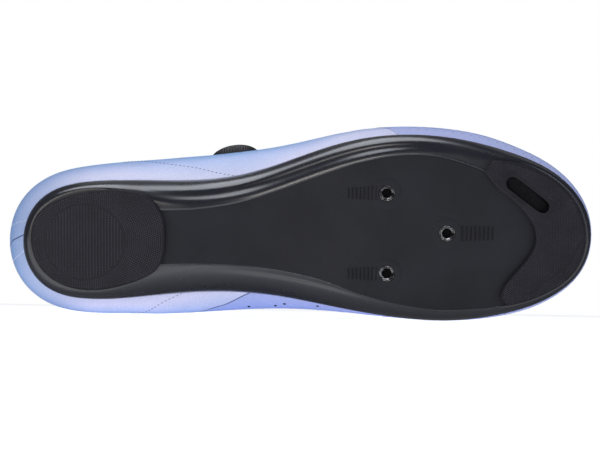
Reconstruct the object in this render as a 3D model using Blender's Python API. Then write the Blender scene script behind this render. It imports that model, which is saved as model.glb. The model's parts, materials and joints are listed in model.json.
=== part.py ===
"""Right cycling shoe with a stiff three-bolt sole, lying on its inner side.

The shoe is modelled upright in its own frame, heel to toe along +X, inner side towards +Y,
sole down, and every piece hangs on one empty. The last step lays that empty down on the
inner side, on the face of the shoe's hull below its centre of mass.
"""
import math

import bmesh
import bpy
import numpy as np
from mathutils import Matrix, Vector
from mathutils.bvhtree import BVHTree

MM = 0.001

# Driving dimensions, in metres
SOLE_LENGTH = 285.5 * MM
BALL_WIDTH = 93.0 * MM
RIM_HEIGHT = 22.5 * MM
WALL_RUN = 16.5 * MM
OVERHANG = 12.0 * MM
BELLY_HEIGHT = 38.0 * MM
COLLAR_HEIGHT = 100.0 * MM
ANKLE_DROP = 4.0 * MM
CREST_SHIFT = 2.5 * MM
CREST_SLOPE = 0.3
TOE_FAN = 0.88
PAD_DEPTH = 3.5 * MM
ARCH_RISE = 5.5 * MM
TOE_SPRING = 14.0 * MM
PLATE = 3.0 * MM
LIP = 2.4 * MM
LIP_ROUND = 0.6 * MM
TUCK = 4.0 * MM
CUP_WALL = 1.2 * MM
CUP_LEAN = 2.0 * MM
CUP_FOOT = 3.0 * MM
FLUTE_DEPTH = 1.4 * MM
BEAD_DEPTH = 0.7 * MM
GAP = 0.3 * MM
SOFT_GAP = 0.6 * MM
SMALL_EDGE = 0.5 * MM

UPPER_WALL = 1.7 * MM
COLLAR_PAD = 3.5 * MM
OVERLAY_THICK = 0.9 * MM
INSOLE_THICK = 3.5 * MM
INSOLE_GAP = 0.9 * MM
INSOLE_BEVEL = 1.5 * MM
INSOLE_STEP = 0.8 * MM
TONGUE_THICK = 4.0 * MM
TONGUE_RISE = 25.0 * MM
TONGUE_SLOPE = math.radians(52.0)
TONGUE_CROWN = 2.0 * MM
TONGUE_GAP = 1.2 * MM

HEEL_PAD_LENGTH = 67.0 * MM
HEEL_PAD_WIDTH = 50.0 * MM
HEEL_PAD_START = 5.2 * MM
HEEL_PAD_SEGMENTS = 36
PAD_EDGE = 0.8 * MM
TOE_PAD_MARGIN = 0.5 * MM
TOE_PAD_STRIP = 22

INSERT_RADIUS = 3.8 * MM
INSERT_BORE = 2.5 * MM
INSERT_SPACING_ALONG = 30.0 * MM
INSERT_SPACING_ACROSS = 40.0 * MM
FRONT_INSERT_ALONG = 0.7426
FRONT_INSERT_Y = -1.3 * MM
INSERT_SEGMENTS = 16

VENT_LENGTH = 26.0 * MM
VENT_WIDTH = 6.6 * MM
VENT_ALONG = 0.8827
VENT_ACROSS = -0.2194
VENT_ANGLE = math.radians(37.5)
VENT_THICK = 1.4 * MM
VENT_RECESS = 0.8 * MM
VENT_ROWS = 12

DIAL_X = 106.0 * MM
DIAL_ELEVATION = math.radians(53.0)
DIAL_RADIUS = 13.0 * MM
DIAL_SKIRT = 1.2 * MM
DIAL_BASE_HEIGHT = 2.4 * MM
DIAL_KNOB_HEIGHT = 6.0 * MM
DIAL_SEGMENTS = 24
DIAL_RIBS = 20
DIAL_RIB_DEPTH = 0.5 * MM
GUIDE_RADIUS = 4.4 * MM
GUIDE_POST = 2.3 * MM
GUIDE_FLANGE = 1.0 * MM
GUIDE_GROOVE = 2.2 * MM
GUIDE_INSET = 8.0 * MM
GUIDE_SEGMENTS = 12
LACE_RADIUS = 0.6 * MM
LACE_STEP = 3.0 * MM
LACE_EXIT = math.radians(65.0)
LACE_WRAP_STEPS = 5
LACE_SETTLE_STEPS = 300
SEAT_REACH = 12.0 * MM

SIDE_STATIONS = 28

# Sole and belly around the last. Widths are shares of BALL_WIDTH, rim of RIM_HEIGHT,
# wall of WALL_RUN, bulge of OVERHANG and belly of BELLY_HEIGHT.
# along, outer width, inner width, rim, outer wall, inner wall, outer bulge, inner bulge, belly
RIM_ROWS = [
    (0.000, -0.033, 0.033, 0.71, 0.26, 0.26, 0.78, 0.80, 1.00),
    (0.012, 0.120, 0.187, 0.71, 0.26, 0.28, 0.70, 0.82, 1.00),
    (0.031, 0.196, 0.262, 0.71, 0.27, 0.28, 0.63, 0.82, 1.00),
    (0.063, 0.256, 0.322, 0.68, 0.25, 0.28, 0.57, 0.80, 1.00),
    (0.109, 0.288, 0.348, 0.67, 0.21, 0.28, 0.55, 0.78, 1.00),
    (0.170, 0.296, 0.348, 0.71, 0.28, 0.36, 0.66, 0.80, 1.00),
    (0.240, 0.292, 0.329, 0.80, 0.74, 0.85, 0.80, 1.00, 1.00),
    (0.310, 0.291, 0.315, 0.93, 0.82, 0.92, 0.95, 1.03, 1.00),
    (0.380, 0.315, 0.316, 1.00, 0.78, 0.87, 0.92, 0.90, 1.00),
    (0.450, 0.377, 0.337, 0.93, 0.74, 0.83, 0.68, 0.70, 1.00),
    (0.521, 0.459, 0.377, 0.80, 0.75, 0.79, 0.43, 0.42, 0.95),
    (0.591, 0.519, 0.417, 0.645, 0.70, 0.61, 0.34, 0.25, 0.89),
    (0.661, 0.542, 0.448, 0.535, 0.62, 0.47, 0.30, 0.19, 0.87),
    (0.730, 0.534, 0.463, 0.49, 0.61, 0.37, 0.30, 0.17, 0.87),
    (0.801, 0.494, 0.451, 0.555, 0.60, 0.33, 0.37, 0.22, 0.87),
    (0.833, 0.466, 0.434, 0.62, 0.30, 0.28, 0.34, 0.24, 0.87),
    (0.872, 0.428, 0.408, 0.69, 0.20, 0.22, 0.27, 0.26, 0.87),
    (0.925, 0.352, 0.345, 0.80, 0.18, 0.19, 0.22, 0.24, 0.87),
    (0.964, 0.254, 0.266, 0.91, 0.17, 0.17, 0.18, 0.19, 0.87),
    (0.988, 0.149, 0.170, 0.97, 0.17, 0.17, 0.14, 0.16, 0.87),
    (1.000, -0.010, 0.010, 1.00, 0.17, 0.17, 0.12, 0.12, 0.87),
]

# Top edge of the upper, for the same stations: crest, throat or collar line.
# x is a share of SOLE_LENGTH, gap of BALL_WIDTH, height of COLLAR_HEIGHT, drop of ANKLE_DROP;
# lean is the wall's last slope in degrees; side and crest say how full the wall's curve is.
# along, x, gap, height, lean, side, crest, drop
TOP_ROWS = [
    (0.000, 0.000, 0.000, 0.990, 94, 0.45, 0.30, 0.0),
    (0.012, 0.010, 0.100, 0.983, 94, 0.45, 0.30, 0.0),
    (0.031, 0.034, 0.180, 0.960, 92, 0.45, 0.30, 0.0),
    (0.063, 0.072, 0.265, 0.905, 90, 0.45, 0.30, 0.3),
    (0.109, 0.128, 0.320, 0.838, 88, 0.45, 0.30, 0.8),
    (0.170, 0.205, 0.325, 0.805, 86, 0.45, 0.30, 1.0),
    (0.240, 0.290, 0.295, 0.860, 78, 0.48, 0.32, 0.7),
    (0.310, 0.365, 0.220, 0.990, 58, 0.50, 0.36, 0.2),
    (0.380, 0.425, 0.165, 0.975, 36, 0.50, 0.40, 0.0),
    (0.450, 0.485, 0.135, 0.890, 26, 0.52, 0.42, 0.0),
    (0.521, 0.545, 0.105, 0.805, 18, 0.54, 0.45, 0.0),
    (0.591, 0.605, 0.075, 0.730, 12, 0.55, 0.50, 0.0),
    (0.645, 0.650, 0.000, 0.680, 0, 0.56, 0.52, 0.0),
    (0.730, 0.722, 0.000, 0.610, 0, 0.58, 0.55, 0.0),
    (0.801, 0.780, 0.000, 0.565, 0, 0.60, 0.58, 0.0),
    (0.872, 0.828, 0.000, 0.530, 0, 0.60, 0.60, 0.0),
    (0.925, 0.865, 0.000, 0.505, 0, 0.60, 0.60, 0.0),
    (0.964, 0.890, 0.000, 0.487, 0, 0.60, 0.60, 0.0),
    (0.988, 0.902, 0.000, 0.478, 0, 0.60, 0.60, 0.0),
    (1.000, 0.908, 0.000, 0.473, 0, 0.60, 0.60, 0.0),
]

# Underside of the plate: along, share of ARCH_RISE, share of TOE_SPRING
FLOOR_ROWS = [
    (0.000, 0.00, 0.00),
    (0.265, 0.00, 0.00),
    (0.317, 0.45, 0.00),
    (0.387, 1.00, 0.00),
    (0.457, 0.92, 0.00),
    (0.528, 0.42, 0.00),
    (0.600, 0.00, 0.00),
    (0.780, 0.00, 0.00),
    (0.832, 0.00, 0.04),
    (0.871, 0.00, 0.17),
    (0.923, 0.00, 0.43),
    (0.965, 0.00, 0.72),
    (1.000, 0.00, 1.00),
]

# Heel pad outline: along its length, outer and inner share of its width
HEEL_PAD_ROWS = [
    (0.000, -0.02, 0.02),
    (0.030, 0.18, 0.22),
    (0.090, 0.28, 0.35),
    (0.210, 0.37, 0.47),
    (0.420, 0.45, 0.54),
    (0.660, 0.465, 0.50),
    (0.850, 0.41, 0.41),
    (0.965, 0.26, 0.27),
    (1.000, 0.00, 0.00),
]

# Toe pad's inner edge: position on the strip, along the sole, across by BALL_WIDTH
TOE_PAD_INNER = [
    (0.00, 0.806, -0.340),
    (0.12, 0.832, -0.245),
    (0.24, 0.857, -0.188),
    (0.36, 0.880, -0.115),
    (0.46, 0.896, -0.035),
    (0.54, 0.898, 0.030),
    (0.64, 0.888, 0.100),
    (0.76, 0.868, 0.175),
    (0.90, 0.842, 0.265),
    (1.00, 0.834, 0.325),
]
TOE_PAD_START = 0.826
TOE_PAD_END = 0.850
TOE_PAD_PARTS = (0.35, 0.65)

# Long grooves in the sole's wall by side: depth, centre and half width as shares of the wall,
# then where along the sole the groove starts, is full, stays full and ends
FLUTES = {
    -1: (FLUTE_DEPTH, 0.46, 0.13, (0.20, 0.30, 0.62, 0.76)),
    1: (BEAD_DEPTH, 0.16, 0.07, (0.30, 0.44, 0.52, 0.62)),
}

# Knob of the dial: shares of its radius, of its height and of the depth of its ribs
KNOB_ROWS = [
    (0.90, 0.00, 0.0),
    (1.00, 0.13, 1.0),
    (1.00, 0.73, 1.0),
    (0.93, 0.92, 0.5),
    (0.82, 1.00, 0.0),
]

# Free end of the tongue: share of its rise, share of its width
TONGUE_FLARE = [
    (0.25, 1.05),
    (0.55, 1.12),
    (0.80, 1.00),
    (0.94, 0.78),
    (1.00, 0.52),
]
TONGUE_SPAN = (0.30, 0.72)
TONGUE_TUCK = 0.8
TONGUE_CREST = 0.6
TONGUE_COLUMNS = 7

# Padding of the collar on the upper's last rows, and where along the last it fades out
COLLAR_ROWS = (0.35, 0.80, 1.00, 0.55)
COLLAR_FADE = (0.30, 0.36)
EYESTAY_SPAN = (0.38, 0.73)
EYESTAY_ROWS = 3

# Lace guides on each side, along the top edge as shares of the last
INNER_GUIDES = (0.415, 0.483, 0.551)
OUTER_GUIDES = (0.449, 0.517, 0.585)


def monotone(knots, values):
    """Cubic through the rows that never overshoots them."""
    x = np.asarray(knots, float)
    y = np.asarray(values, float)
    step = np.diff(x)
    rise = np.diff(y) / step
    slope = np.zeros(len(x))
    slope[0] = rise[0]
    slope[-1] = rise[-1]
    for i in range(1, len(x) - 1):
        if rise[i - 1] * rise[i] > 0:
            before = 2 * step[i] + step[i - 1]
            after = step[i] + 2 * step[i - 1]
            slope[i] = (before + after) / (before / rise[i - 1] + after / rise[i])

    def at(place):
        place = np.clip(place, x[0], x[-1])
        i = int(np.clip(np.searchsorted(x, place) - 1, 0, len(x) - 2))
        t = (place - x[i]) / step[i]
        return float((1 + 2 * t) * (1 - t) ** 2 * y[i] + t * (1 - t) ** 2 * step[i] * slope[i]
                     + t * t * (3 - 2 * t) * y[i + 1] - t * t * (1 - t) * step[i] * slope[i + 1])

    return at


def closed_spline(knots, values, period):
    """Smooth closed curve through the rows, with even curvature."""
    x = np.asarray(knots, float)
    y = np.asarray(values, float)
    count = len(x)
    step = np.diff(np.append(x, x[0] + period))
    rise = np.diff(np.append(y, y[0])) / step
    matrix = np.zeros((count, count))
    for i in range(count):
        matrix[i, i - 1] += step[i - 1]
        matrix[i, i] += 2 * (step[i - 1] + step[i])
        matrix[i, (i + 1) % count] += step[i]
    bend = np.linalg.solve(matrix, 6 * (rise - np.roll(rise, 1)))

    def at(place):
        place = (place - x[0]) % period + x[0]
        i = int(np.searchsorted(x, place, side="right") - 1)
        k = (i + 1) % count
        h = step[i]
        b = place - x[i]
        a = h - b
        return float((bend[i] * a ** 3 + bend[k] * b ** 3) / (6 * h)
                     + (y[i] / h - bend[i] * h / 6) * a + (y[k] / h - bend[k] * h / 6) * b)

    return at


def turn_of(along):
    """Angle round the last, 0 at the heel and pi at the toe, for a share of its length."""
    return math.acos(1 - 2 * along)


def column(rows, index):
    return [row[index] for row in rows]


def outline(rows, outer, inner, length, width, start):
    """Closed outline, as a function of the angle, from a table of half widths."""
    turns = [turn_of(row[0]) for row in rows]
    knots = turns + [2 * math.pi - turn for turn in reversed(turns[1:-1])]
    values = [-row[outer] for row in rows] + [row[inner] for row in reversed(rows[1:-1])]
    across = closed_spline(knots, values, 2 * math.pi)

    def at(turn):
        return np.array([start + length * (1 - math.cos(turn)) / 2, width * across(turn)])

    return at


def by_side(rows, outer, inner):
    """Function of the angle for a table column that differs on the two sides."""
    turns = [turn_of(row[0]) for row in rows]
    sides = (monotone(turns, column(rows, outer)), monotone(turns, column(rows, inner)))

    def at(turn):
        side = 0 if turn <= math.pi else 1
        return sides[side](turn if side == 0 else 2 * math.pi - turn)

    return at


rim_outline = outline(RIM_ROWS, 1, 2, SOLE_LENGTH, BALL_WIDTH, 0.0)
rim_share = by_side(RIM_ROWS, 3, 3)
wall_share = by_side(RIM_ROWS, 4, 5)
bulge_share = by_side(RIM_ROWS, 6, 7)
belly_share = by_side(RIM_ROWS, 8, 8)

top_x = by_side(TOP_ROWS, 1, 1)
top_gap = by_side(TOP_ROWS, 2, 2)
top_height = by_side(TOP_ROWS, 3, 3)
top_lean = by_side(TOP_ROWS, 4, 4)
side_full = by_side(TOP_ROWS, 5, 5)
crest_full = by_side(TOP_ROWS, 6, 6)
ankle_drop = by_side(TOP_ROWS, 7, 7)

arch_share = monotone(column(FLOOR_ROWS, 0), column(FLOOR_ROWS, 1))
spring_share = monotone(column(FLOOR_ROWS, 0), column(FLOOR_ROWS, 2))


def underside(x):
    """Height of the flat underside of the sole plate at x."""
    along = x / SOLE_LENGTH
    return PAD_DEPTH + ARCH_RISE * arch_share(along) + TOE_SPRING * spring_share(along)


def smoothstep(low, high, value):
    t = min(max((value - low) / (high - low), 0.0), 1.0)
    return t * t * (3 - 2 * t)


class Station:
    """One place round the last: rim point, outward normal and the heights there."""

    def __init__(self, turn):
        self.turn = turn
        self.side = -1 if turn <= math.pi else 1
        self.at_end = min(turn, abs(turn - math.pi)) < 1e-6
        self.along = (1 - math.cos(turn)) / 2
        self.rim = rim_outline(turn)
        tangent = rim_outline(turn + 0.01) - rim_outline(turn - 0.01)
        tangent /= np.linalg.norm(tangent)
        self.normal = np.array([-tangent[1], tangent[0]]) * -1
        if np.dot(self.normal, self.rim - np.array([SOLE_LENGTH / 2, 0])) < 0:
            self.normal = -self.normal
        self.rim_z = RIM_HEIGHT * rim_share(turn)
        self.run = WALL_RUN * wall_share(turn)
        self.floor = underside(self.inset(self.run)[0])
        self.tuck = min(TUCK, self.rim_z - self.floor - PLATE - GAP)

    def inset(self, distance):
        return self.rim - self.normal * distance

    def point(self, distance, height):
        x, y = self.inset(distance)
        return np.array([x, y, height])

    def top(self):
        """Top edge of the upper: on the crest, at the throat or at the collar."""
        gap = BALL_WIDTH * top_gap(self.turn)
        drop = ANKLE_DROP * ankle_drop(self.turn) if self.side < 0 else 0.0
        return np.array([SOLE_LENGTH * top_x(self.turn), CREST_SHIFT + self.side * gap,
                         COLLAR_HEIGHT * top_height(self.turn) - drop])

    def is_closed(self):
        return top_gap(self.turn) < 0.01 and self.along > 0.5


def all_stations():
    count = 2 * SIDE_STATIONS
    return [Station(2 * math.pi * k / count) for k in range(count)]


def bezier(a, b, c, d, t):
    return a * (1 - t) ** 3 + 3 * b * t * (1 - t) ** 2 + 3 * c * t * t * (1 - t) + d * t ** 3


# Shares of the way from the rim to the belly, and from the belly to the top edge
LOWER_STEPS = (0.35, 0.7, 1.0)
UPPER_STEPS = (0.14, 0.29, 0.44, 0.58, 0.72, 0.86, 1.0)

# How far the curve from rim to belly holds its first and its last direction
RIM_FULL = 0.35
BELLY_FULL = 0.45


def upper_section(station):
    """Outer line of the upper from its tucked edge, over the belly, to the top edge."""
    inset = LIP + GAP
    low = station.point(inset, station.rim_z - station.tuck)
    start = station.point(inset, station.rim_z)
    bulge = OVERHANG * bulge_share(station.turn)
    belly = station.point(-bulge, BELLY_HEIGHT * belly_share(station.turn))
    rise = belly[2] - start[2]
    outward = np.append(station.normal, 0.0)
    up = np.array([0.0, 0.0, 1.0])
    first = start + (outward * (inset + bulge) + up * rise) * RIM_FULL
    second = belly - up * rise * BELLY_FULL
    rows = [low, start] + [bezier(start, first, second, belly, t) for t in LOWER_STEPS]
    top = station.top()
    lean = math.radians(top_lean(station.turn))
    fan = float(station.at_end)
    if station.along > 0.5:
        fan = smoothstep(TOE_FAN, 1.0, station.along)
    inward = np.array([0.0, -station.side, 0.0]) * (1 - fan) - outward * fan
    inward /= np.linalg.norm(inward)
    inward += up * CREST_SLOPE * max(-inward[0], 0.0)
    reach = np.linalg.norm(top - belly)
    end = inward * math.cos(lean) + up * math.sin(lean)
    first = belly + up * (top[2] - belly[2]) * side_full(station.turn)
    second = top - end * reach * crest_full(station.turn)
    rows += [bezier(belly, first, second, top, t) for t in UPPER_STEPS]
    return rows


def surface_normals(grid, stations):
    """Outward normals of the upper's outer grid, the same from both sides of the crest."""
    along = np.roll(grid, -1, axis=0) - np.roll(grid, 1, axis=0)
    along[SIDE_STATIONS, -1] = along[SIDE_STATIONS, -2]
    up = np.gradient(grid, axis=1)
    normal = np.cross(up, along)
    normal /= np.linalg.norm(normal, axis=2, keepdims=True)
    centre = grid.mean(axis=(0, 1))
    if np.sum(normal * (grid - centre)) < 0:
        normal = -normal
    count = len(stations)
    for k in range(1, SIDE_STATIONS):
        if stations[k].is_closed():
            both = normal[k, -1] + normal[count - k, -1]
            both /= np.linalg.norm(both)
            normal[k, -1] = both
            normal[count - k, -1] = both
    return normal


def new_object(name, mesh, material, root):
    obj = bpy.data.objects.new(name, mesh)
    bpy.context.scene.collection.objects.link(obj)
    if material:
        mesh.materials.append(material)
    obj.parent = root
    return obj


def finish_mesh(name, bm, merge=1e-6):
    bmesh.ops.remove_doubles(bm, verts=bm.verts, dist=merge)
    bmesh.ops.dissolve_degenerate(bm, edges=bm.edges, dist=merge)
    bmesh.ops.recalc_face_normals(bm, faces=bm.faces)
    mesh = bpy.data.meshes.new(name)
    bm.to_mesh(mesh)
    bm.free()
    mesh.shade_smooth()
    mesh.set_sharp_from_angle(angle=math.radians(35))
    return mesh


def grid_faces(bm, grid, wrap_rows, wrap_columns, skip=None):
    """Quads between neighbouring rows and columns of a grid of points."""
    verts = [[bm.verts.new(point) for point in row] for row in grid]
    rows = len(verts)
    columns = len(verts[0])
    for i in range(rows if wrap_rows else rows - 1):
        for j in range(columns if wrap_columns else columns - 1):
            if skip and skip(i, j):
                continue
            a = verts[i][j]
            b = verts[(i + 1) % rows][j]
            c = verts[(i + 1) % rows][(j + 1) % columns]
            d = verts[i][(j + 1) % columns]
            bm.faces.new((a, b, c, d))
    return verts


def cap(bm, verts):
    bm.faces.new(verts)


def shell(name, outer, inner, strips, stations, first_row, last_row, whole_loop=False):
    """Closed wall between two offset grids over some stations and rows of the upper.

    The crest line is shared by both sides, so no edge face is made there.
    """
    bm = bmesh.new()
    rows = list(range(first_row, last_row + 1))
    top = outer.shape[1] - 1
    count = len(stations)
    for strip in strips:
        ring = []
        for k in strip:
            out = [outer[k % count, j] for j in rows]
            back = [inner[k % count, j] for j in reversed(rows)]
            ring.append(out + back)
        edge = len(rows) - 1

        def crest(i, j, strip=strip):
            here = stations[strip[i] % count]
            there = stations[strip[(i + 1) % len(strip)] % count]
            return j == edge and last_row == top and joined(here) and joined(there)

        verts = grid_faces(bm, ring, whole_loop, True, crest)
        if not whole_loop:
            for end in (verts[0], verts[-1]):
                for j in range(edge):
                    cap(bm, (end[j], end[j + 1], end[-2 - j], end[-1 - j]))
    return finish_mesh(name, bm)


def joined(station):
    return station.is_closed() or (station.at_end and station.along > 0.5)


def material(name, colour, roughness, metallic=0.0, coat=0.0):
    mat = bpy.data.materials.new(name)
    mat.use_nodes = True
    shader = mat.node_tree.nodes["Principled BSDF"]
    shader.inputs["Base Color"].default_value = (*colour, 1.0)
    shader.inputs["Roughness"].default_value = roughness
    shader.inputs["Metallic"].default_value = metallic
    shader.inputs["Coat Weight"].default_value = coat
    mat.diffuse_color = (*colour, 1.0)
    return mat


# Wall of the sole, from the plate's edge to the rim: shares of its run
WALL_STEPS = (0.0, 0.06, 0.16, 0.28, 0.40, 0.52, 0.64, 0.76, 0.88, 0.96)

# Inside of the cup, from its ledge to the footbed: shares of the wall's run
CUP_STEPS = (0.75, 0.4)


def flute(station, share):
    """Depth of the long groove in the sole's wall at a share of the wall."""
    depth, centre, half, (start, full, stay, end) = FLUTES[station.side]
    fade = smoothstep(start, full, station.along) * (1 - smoothstep(stay, end, station.along))
    return depth * fade * math.exp(-((share - centre) / half) ** 2)


def wall_height(share):
    return 1 - math.sqrt(max(1 - share ** 2, 0.0))


def sole_inside(station):
    """Inner line of the sole cup, from below its lip to the edge of the flat footbed."""
    rise = station.rim_z - station.floor
    ledge = station.rim_z - station.tuck - GAP
    rows = [(LIP, station.rim_z), (LIP, ledge)]
    for share in CUP_STEPS:
        height = station.floor + rise * wall_height(share) + PLATE
        inset = max(station.run * (1 - share) + CUP_WALL, LIP + CUP_LEAN * (1 - share))
        rows.append((inset, min(height, ledge)))
    rows.append((max(station.run, LIP) + CUP_FOOT, station.floor + PLATE))
    return rows


def sole_section(station):
    rise = station.rim_z - station.floor
    rows = []
    for share in WALL_STEPS:
        height = station.floor + rise * wall_height(share) + flute(station, share)
        rows.append(station.point(station.run * (1 - share), height))
    rows.append(station.point(0.0, station.rim_z - LIP_ROUND))
    rows.append(station.point(LIP_ROUND, station.rim_z))
    rows += [station.point(inset, height) for inset, height in sole_inside(station)]
    return rows


def ladder(sections, first_centre, last_centre):
    """Adds a shared centre point below and above the sections of the two sides."""
    count = len(sections)
    grid = []
    for k, section in enumerate(sections):
        twin = sections[(count - k) % count]
        grid.append([first_centre(section, twin)] + section + [last_centre(section, twin)])
    return grid


def middle(index):
    def at(section, twin):
        return (section[index] + twin[index]) / 2

    return at


def build_sole(stations, root, mat):
    sections = [sole_section(station) for station in stations]
    bm = bmesh.new()
    grid_faces(bm, ladder(sections, middle(0), middle(-1)), True, False)
    return new_object("sole", finish_mesh("sole", bm), mat, root)


def cut(obj, cutter):
    """Subtracts a hidden cutter from an object."""
    cutter.hide_render = True
    cutter.display_type = "WIRE"
    change = obj.modifiers.new("cut " + cutter.name, "BOOLEAN")
    change.operation = "DIFFERENCE"
    change.solver = "EXACT"
    change.object = cutter


def ring_points(x, y, radius, z, count):
    turns = [2 * math.pi * k / count for k in range(count)]
    return [(x + radius * math.cos(t), y + radius * math.sin(t), z) for t in turns]


def turned(name, x, y, profile, count, wrap):
    """Round piece about a vertical axis, from rows of radius and height."""
    bm = bmesh.new()
    grid = [ring_points(x, y, radius, z, count) for radius, z in profile]
    verts = grid_faces(bm, grid, wrap, True)
    if not wrap:
        cap(bm, verts[0])
        cap(bm, verts[-1])
    return finish_mesh(name, bm)


def insert_places():
    front = SOLE_LENGTH * FRONT_INSERT_ALONG
    back = front - INSERT_SPACING_ALONG
    half = INSERT_SPACING_ACROSS / 2
    return [(front, FRONT_INSERT_Y), (back, FRONT_INSERT_Y - half), (back, FRONT_INSERT_Y + half)]


def build_inserts(sole, root, mat):
    for number, (x, y) in enumerate(insert_places(), 1):
        low = underside(x)
        hole = [(INSERT_RADIUS + GAP, low - PLATE), (INSERT_RADIUS + GAP, low + 2 * PLATE)]
        cutter = new_object(f"insert_hole_{number}", turned("hole", x, y, hole, INSERT_SEGMENTS, False),
                            None, root)
        cut(sole, cutter)
        high = low + PLATE - GAP
        profile = [(INSERT_BORE + SMALL_EDGE, low), (INSERT_RADIUS, low), (INSERT_RADIUS, high),
                   (INSERT_BORE, high), (INSERT_BORE, low + SMALL_EDGE)]
        mesh = turned("cleat_insert", x, y, profile, INSERT_SEGMENTS, True)
        new_object(f"cleat_insert_{number}", mesh, mat, root)


def build_heel_pad(root, mat):
    edge = outline(HEEL_PAD_ROWS, 1, 2, HEEL_PAD_LENGTH, HEEL_PAD_WIDTH, HEEL_PAD_START)
    centre = np.array([HEEL_PAD_START + HEEL_PAD_LENGTH / 2, CREST_SHIFT])
    sections = []
    for k in range(HEEL_PAD_SEGMENTS):
        x, y = edge(2 * math.pi * k / HEEL_PAD_SEGMENTS)
        inward = centre - np.array([x, y])
        inward /= np.linalg.norm(inward)
        low_x, low_y = np.array([x, y]) + inward * PAD_EDGE
        sections.append([np.array([x, y, PAD_DEPTH - GAP]), np.array([x, y, PAD_EDGE]),
                         np.array([low_x, low_y, 0.0])])
    bm = bmesh.new()
    grid_faces(bm, ladder(sections, middle(0), middle(-1)), True, False)
    return new_object("heel_pad", finish_mesh("heel_pad", bm), mat, root)


def vent_outline(margin):
    """Pairs of side points along the vent's round-ended slot, inside a margin."""
    direction = np.array([math.cos(VENT_ANGLE), math.sin(VENT_ANGLE)])
    across = np.array([-direction[1], direction[0]])
    middle_point = np.array([SOLE_LENGTH * VENT_ALONG, BALL_WIDTH * VENT_ACROSS])
    radius = VENT_WIDTH / 2 - margin
    straight = (VENT_LENGTH - VENT_WIDTH) / 2
    quarter = math.cos(math.pi / 4)
    pairs = []
    for k in range(VENT_ROWS + 1):
        reach = -math.cos(math.pi * k / VENT_ROWS)
        bulge = max(abs(reach) - quarter, 0) / (1 - quarter)
        along = straight * np.clip(reach / quarter, -1, 1) + math.copysign(bulge, reach) * radius
        half = radius * math.sqrt(max(1 - bulge ** 2, 0.0))
        centre = middle_point + direction * along
        pairs.append((centre - across * half, centre + across * half))
    return pairs


def slot_body(name, pairs, low, high):
    """Closed plate over a slot's outline, between two heights above the sole's underside."""
    bm = bmesh.new()
    grid = []
    for left, right in pairs:
        corners = ((left, low), (right, low), (right, high), (left, high))
        grid.append([np.append(corner, underside(corner[0]) + height) for corner, height in corners])
    grid_faces(bm, grid, False, True)
    return finish_mesh(name, bm)


def build_toe_pad(sole, root, rubber, mesh_black):
    """Rubber strip round the toe, with the slot and the grille of the vent."""
    first = turn_of(TOE_PAD_START)
    last = 2 * math.pi - turn_of(TOE_PAD_END)
    inner_x = monotone(column(TOE_PAD_INNER, 0), column(TOE_PAD_INNER, 1))
    inner_y = monotone(column(TOE_PAD_INNER, 0), column(TOE_PAD_INNER, 2))
    depth = PAD_DEPTH - GAP
    side = depth - PAD_EDGE
    low, high = TOE_PAD_PARTS
    grid = []
    for k in range(TOE_PAD_STRIP + 1):
        share = k / TOE_PAD_STRIP
        station = Station(first + (last - first) * share)
        outer = station.inset(station.run + TOE_PAD_MARGIN)
        inner = np.array([SOLE_LENGTH * inner_x(share), BALL_WIDTH * inner_y(share)])
        ease = PAD_EDGE / np.linalg.norm(inner - outer)
        section = [(0, 0), (0, side), (ease, depth), (low, depth), (high, depth),
                   (1 - ease, depth), (1, side), (1, 0), (high, 0), (low, 0)]
        ring = []
        for part, down in section:
            x, y = outer + (inner - outer) * part
            ring.append(np.array([x, y, underside(x) - GAP - down]))
        grid.append(ring)
    bm = bmesh.new()
    verts = grid_faces(bm, grid, False, True)
    for end in (verts[0], verts[-1]):
        cap(bm, (end[0], end[1], end[2], end[3], end[9]))
        cap(bm, (end[3], end[4], end[8], end[9]))
        cap(bm, (end[4], end[5], end[6], end[7], end[8]))
    pad = new_object("toe_pad", finish_mesh("toe_pad", bm), rubber, root)
    hole = slot_body("vent_slot", vent_outline(0.0), -2 * PAD_DEPTH, 2 * PLATE)
    cutter = new_object("vent_slot", hole, None, root)
    cut(pad, cutter)
    cut(sole, cutter)
    grille = slot_body("toe_vent", vent_outline(GAP), VENT_RECESS, VENT_RECESS + VENT_THICK)
    new_object("toe_vent", grille, mesh_black, root)


def build_insole(stations, root, mat):
    """Footbed sheet that lies in the sole's cup, inside the upper's tucked edge."""
    edge = LIP + GAP + UPPER_WALL + SOFT_GAP
    sections = []
    for station in stations:
        inside = sole_inside(station)[1:]
        insets = column(inside, 0)
        heights = column(inside, 1)
        places = [edge]
        for number, inset in enumerate(insets[1:], 1):
            places.append(max(inset, edge + INSOLE_STEP * number))
        under = [(p, float(np.interp(p, insets, heights)) + INSOLE_GAP) for p in places]
        over = [(p, h + INSOLE_THICK) for p, h in under]
        line = list(reversed(under)) + [(edge + GAP, over[0][1] - INSOLE_BEVEL)] + over[1:]
        sections.append([station.point(p, h) for p, h in line])
    bm = bmesh.new()
    grid_faces(bm, ladder(sections, middle(0), middle(-1)), True, False)
    return new_object("insole", finish_mesh("insole", bm), mat, root)


def upper_thickness(stations, rows):
    """Wall of the upper at each grid point, padded along the collar."""
    wall = np.full((len(stations), rows), UPPER_WALL)
    for k, station in enumerate(stations):
        collar = 1 - smoothstep(*COLLAR_FADE, station.along)
        for row, share in enumerate(COLLAR_ROWS, rows - len(COLLAR_ROWS)):
            wall[k, row] += COLLAR_PAD * collar * share
    return wall


def side_strips(low, high, stations):
    """Station numbers of both sides between two places along the last."""
    count = len(stations)
    outer = [k for k in range(1, SIDE_STATIONS) if low <= stations[k].along <= high]
    return [outer, [count - k for k in outer]]


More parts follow.
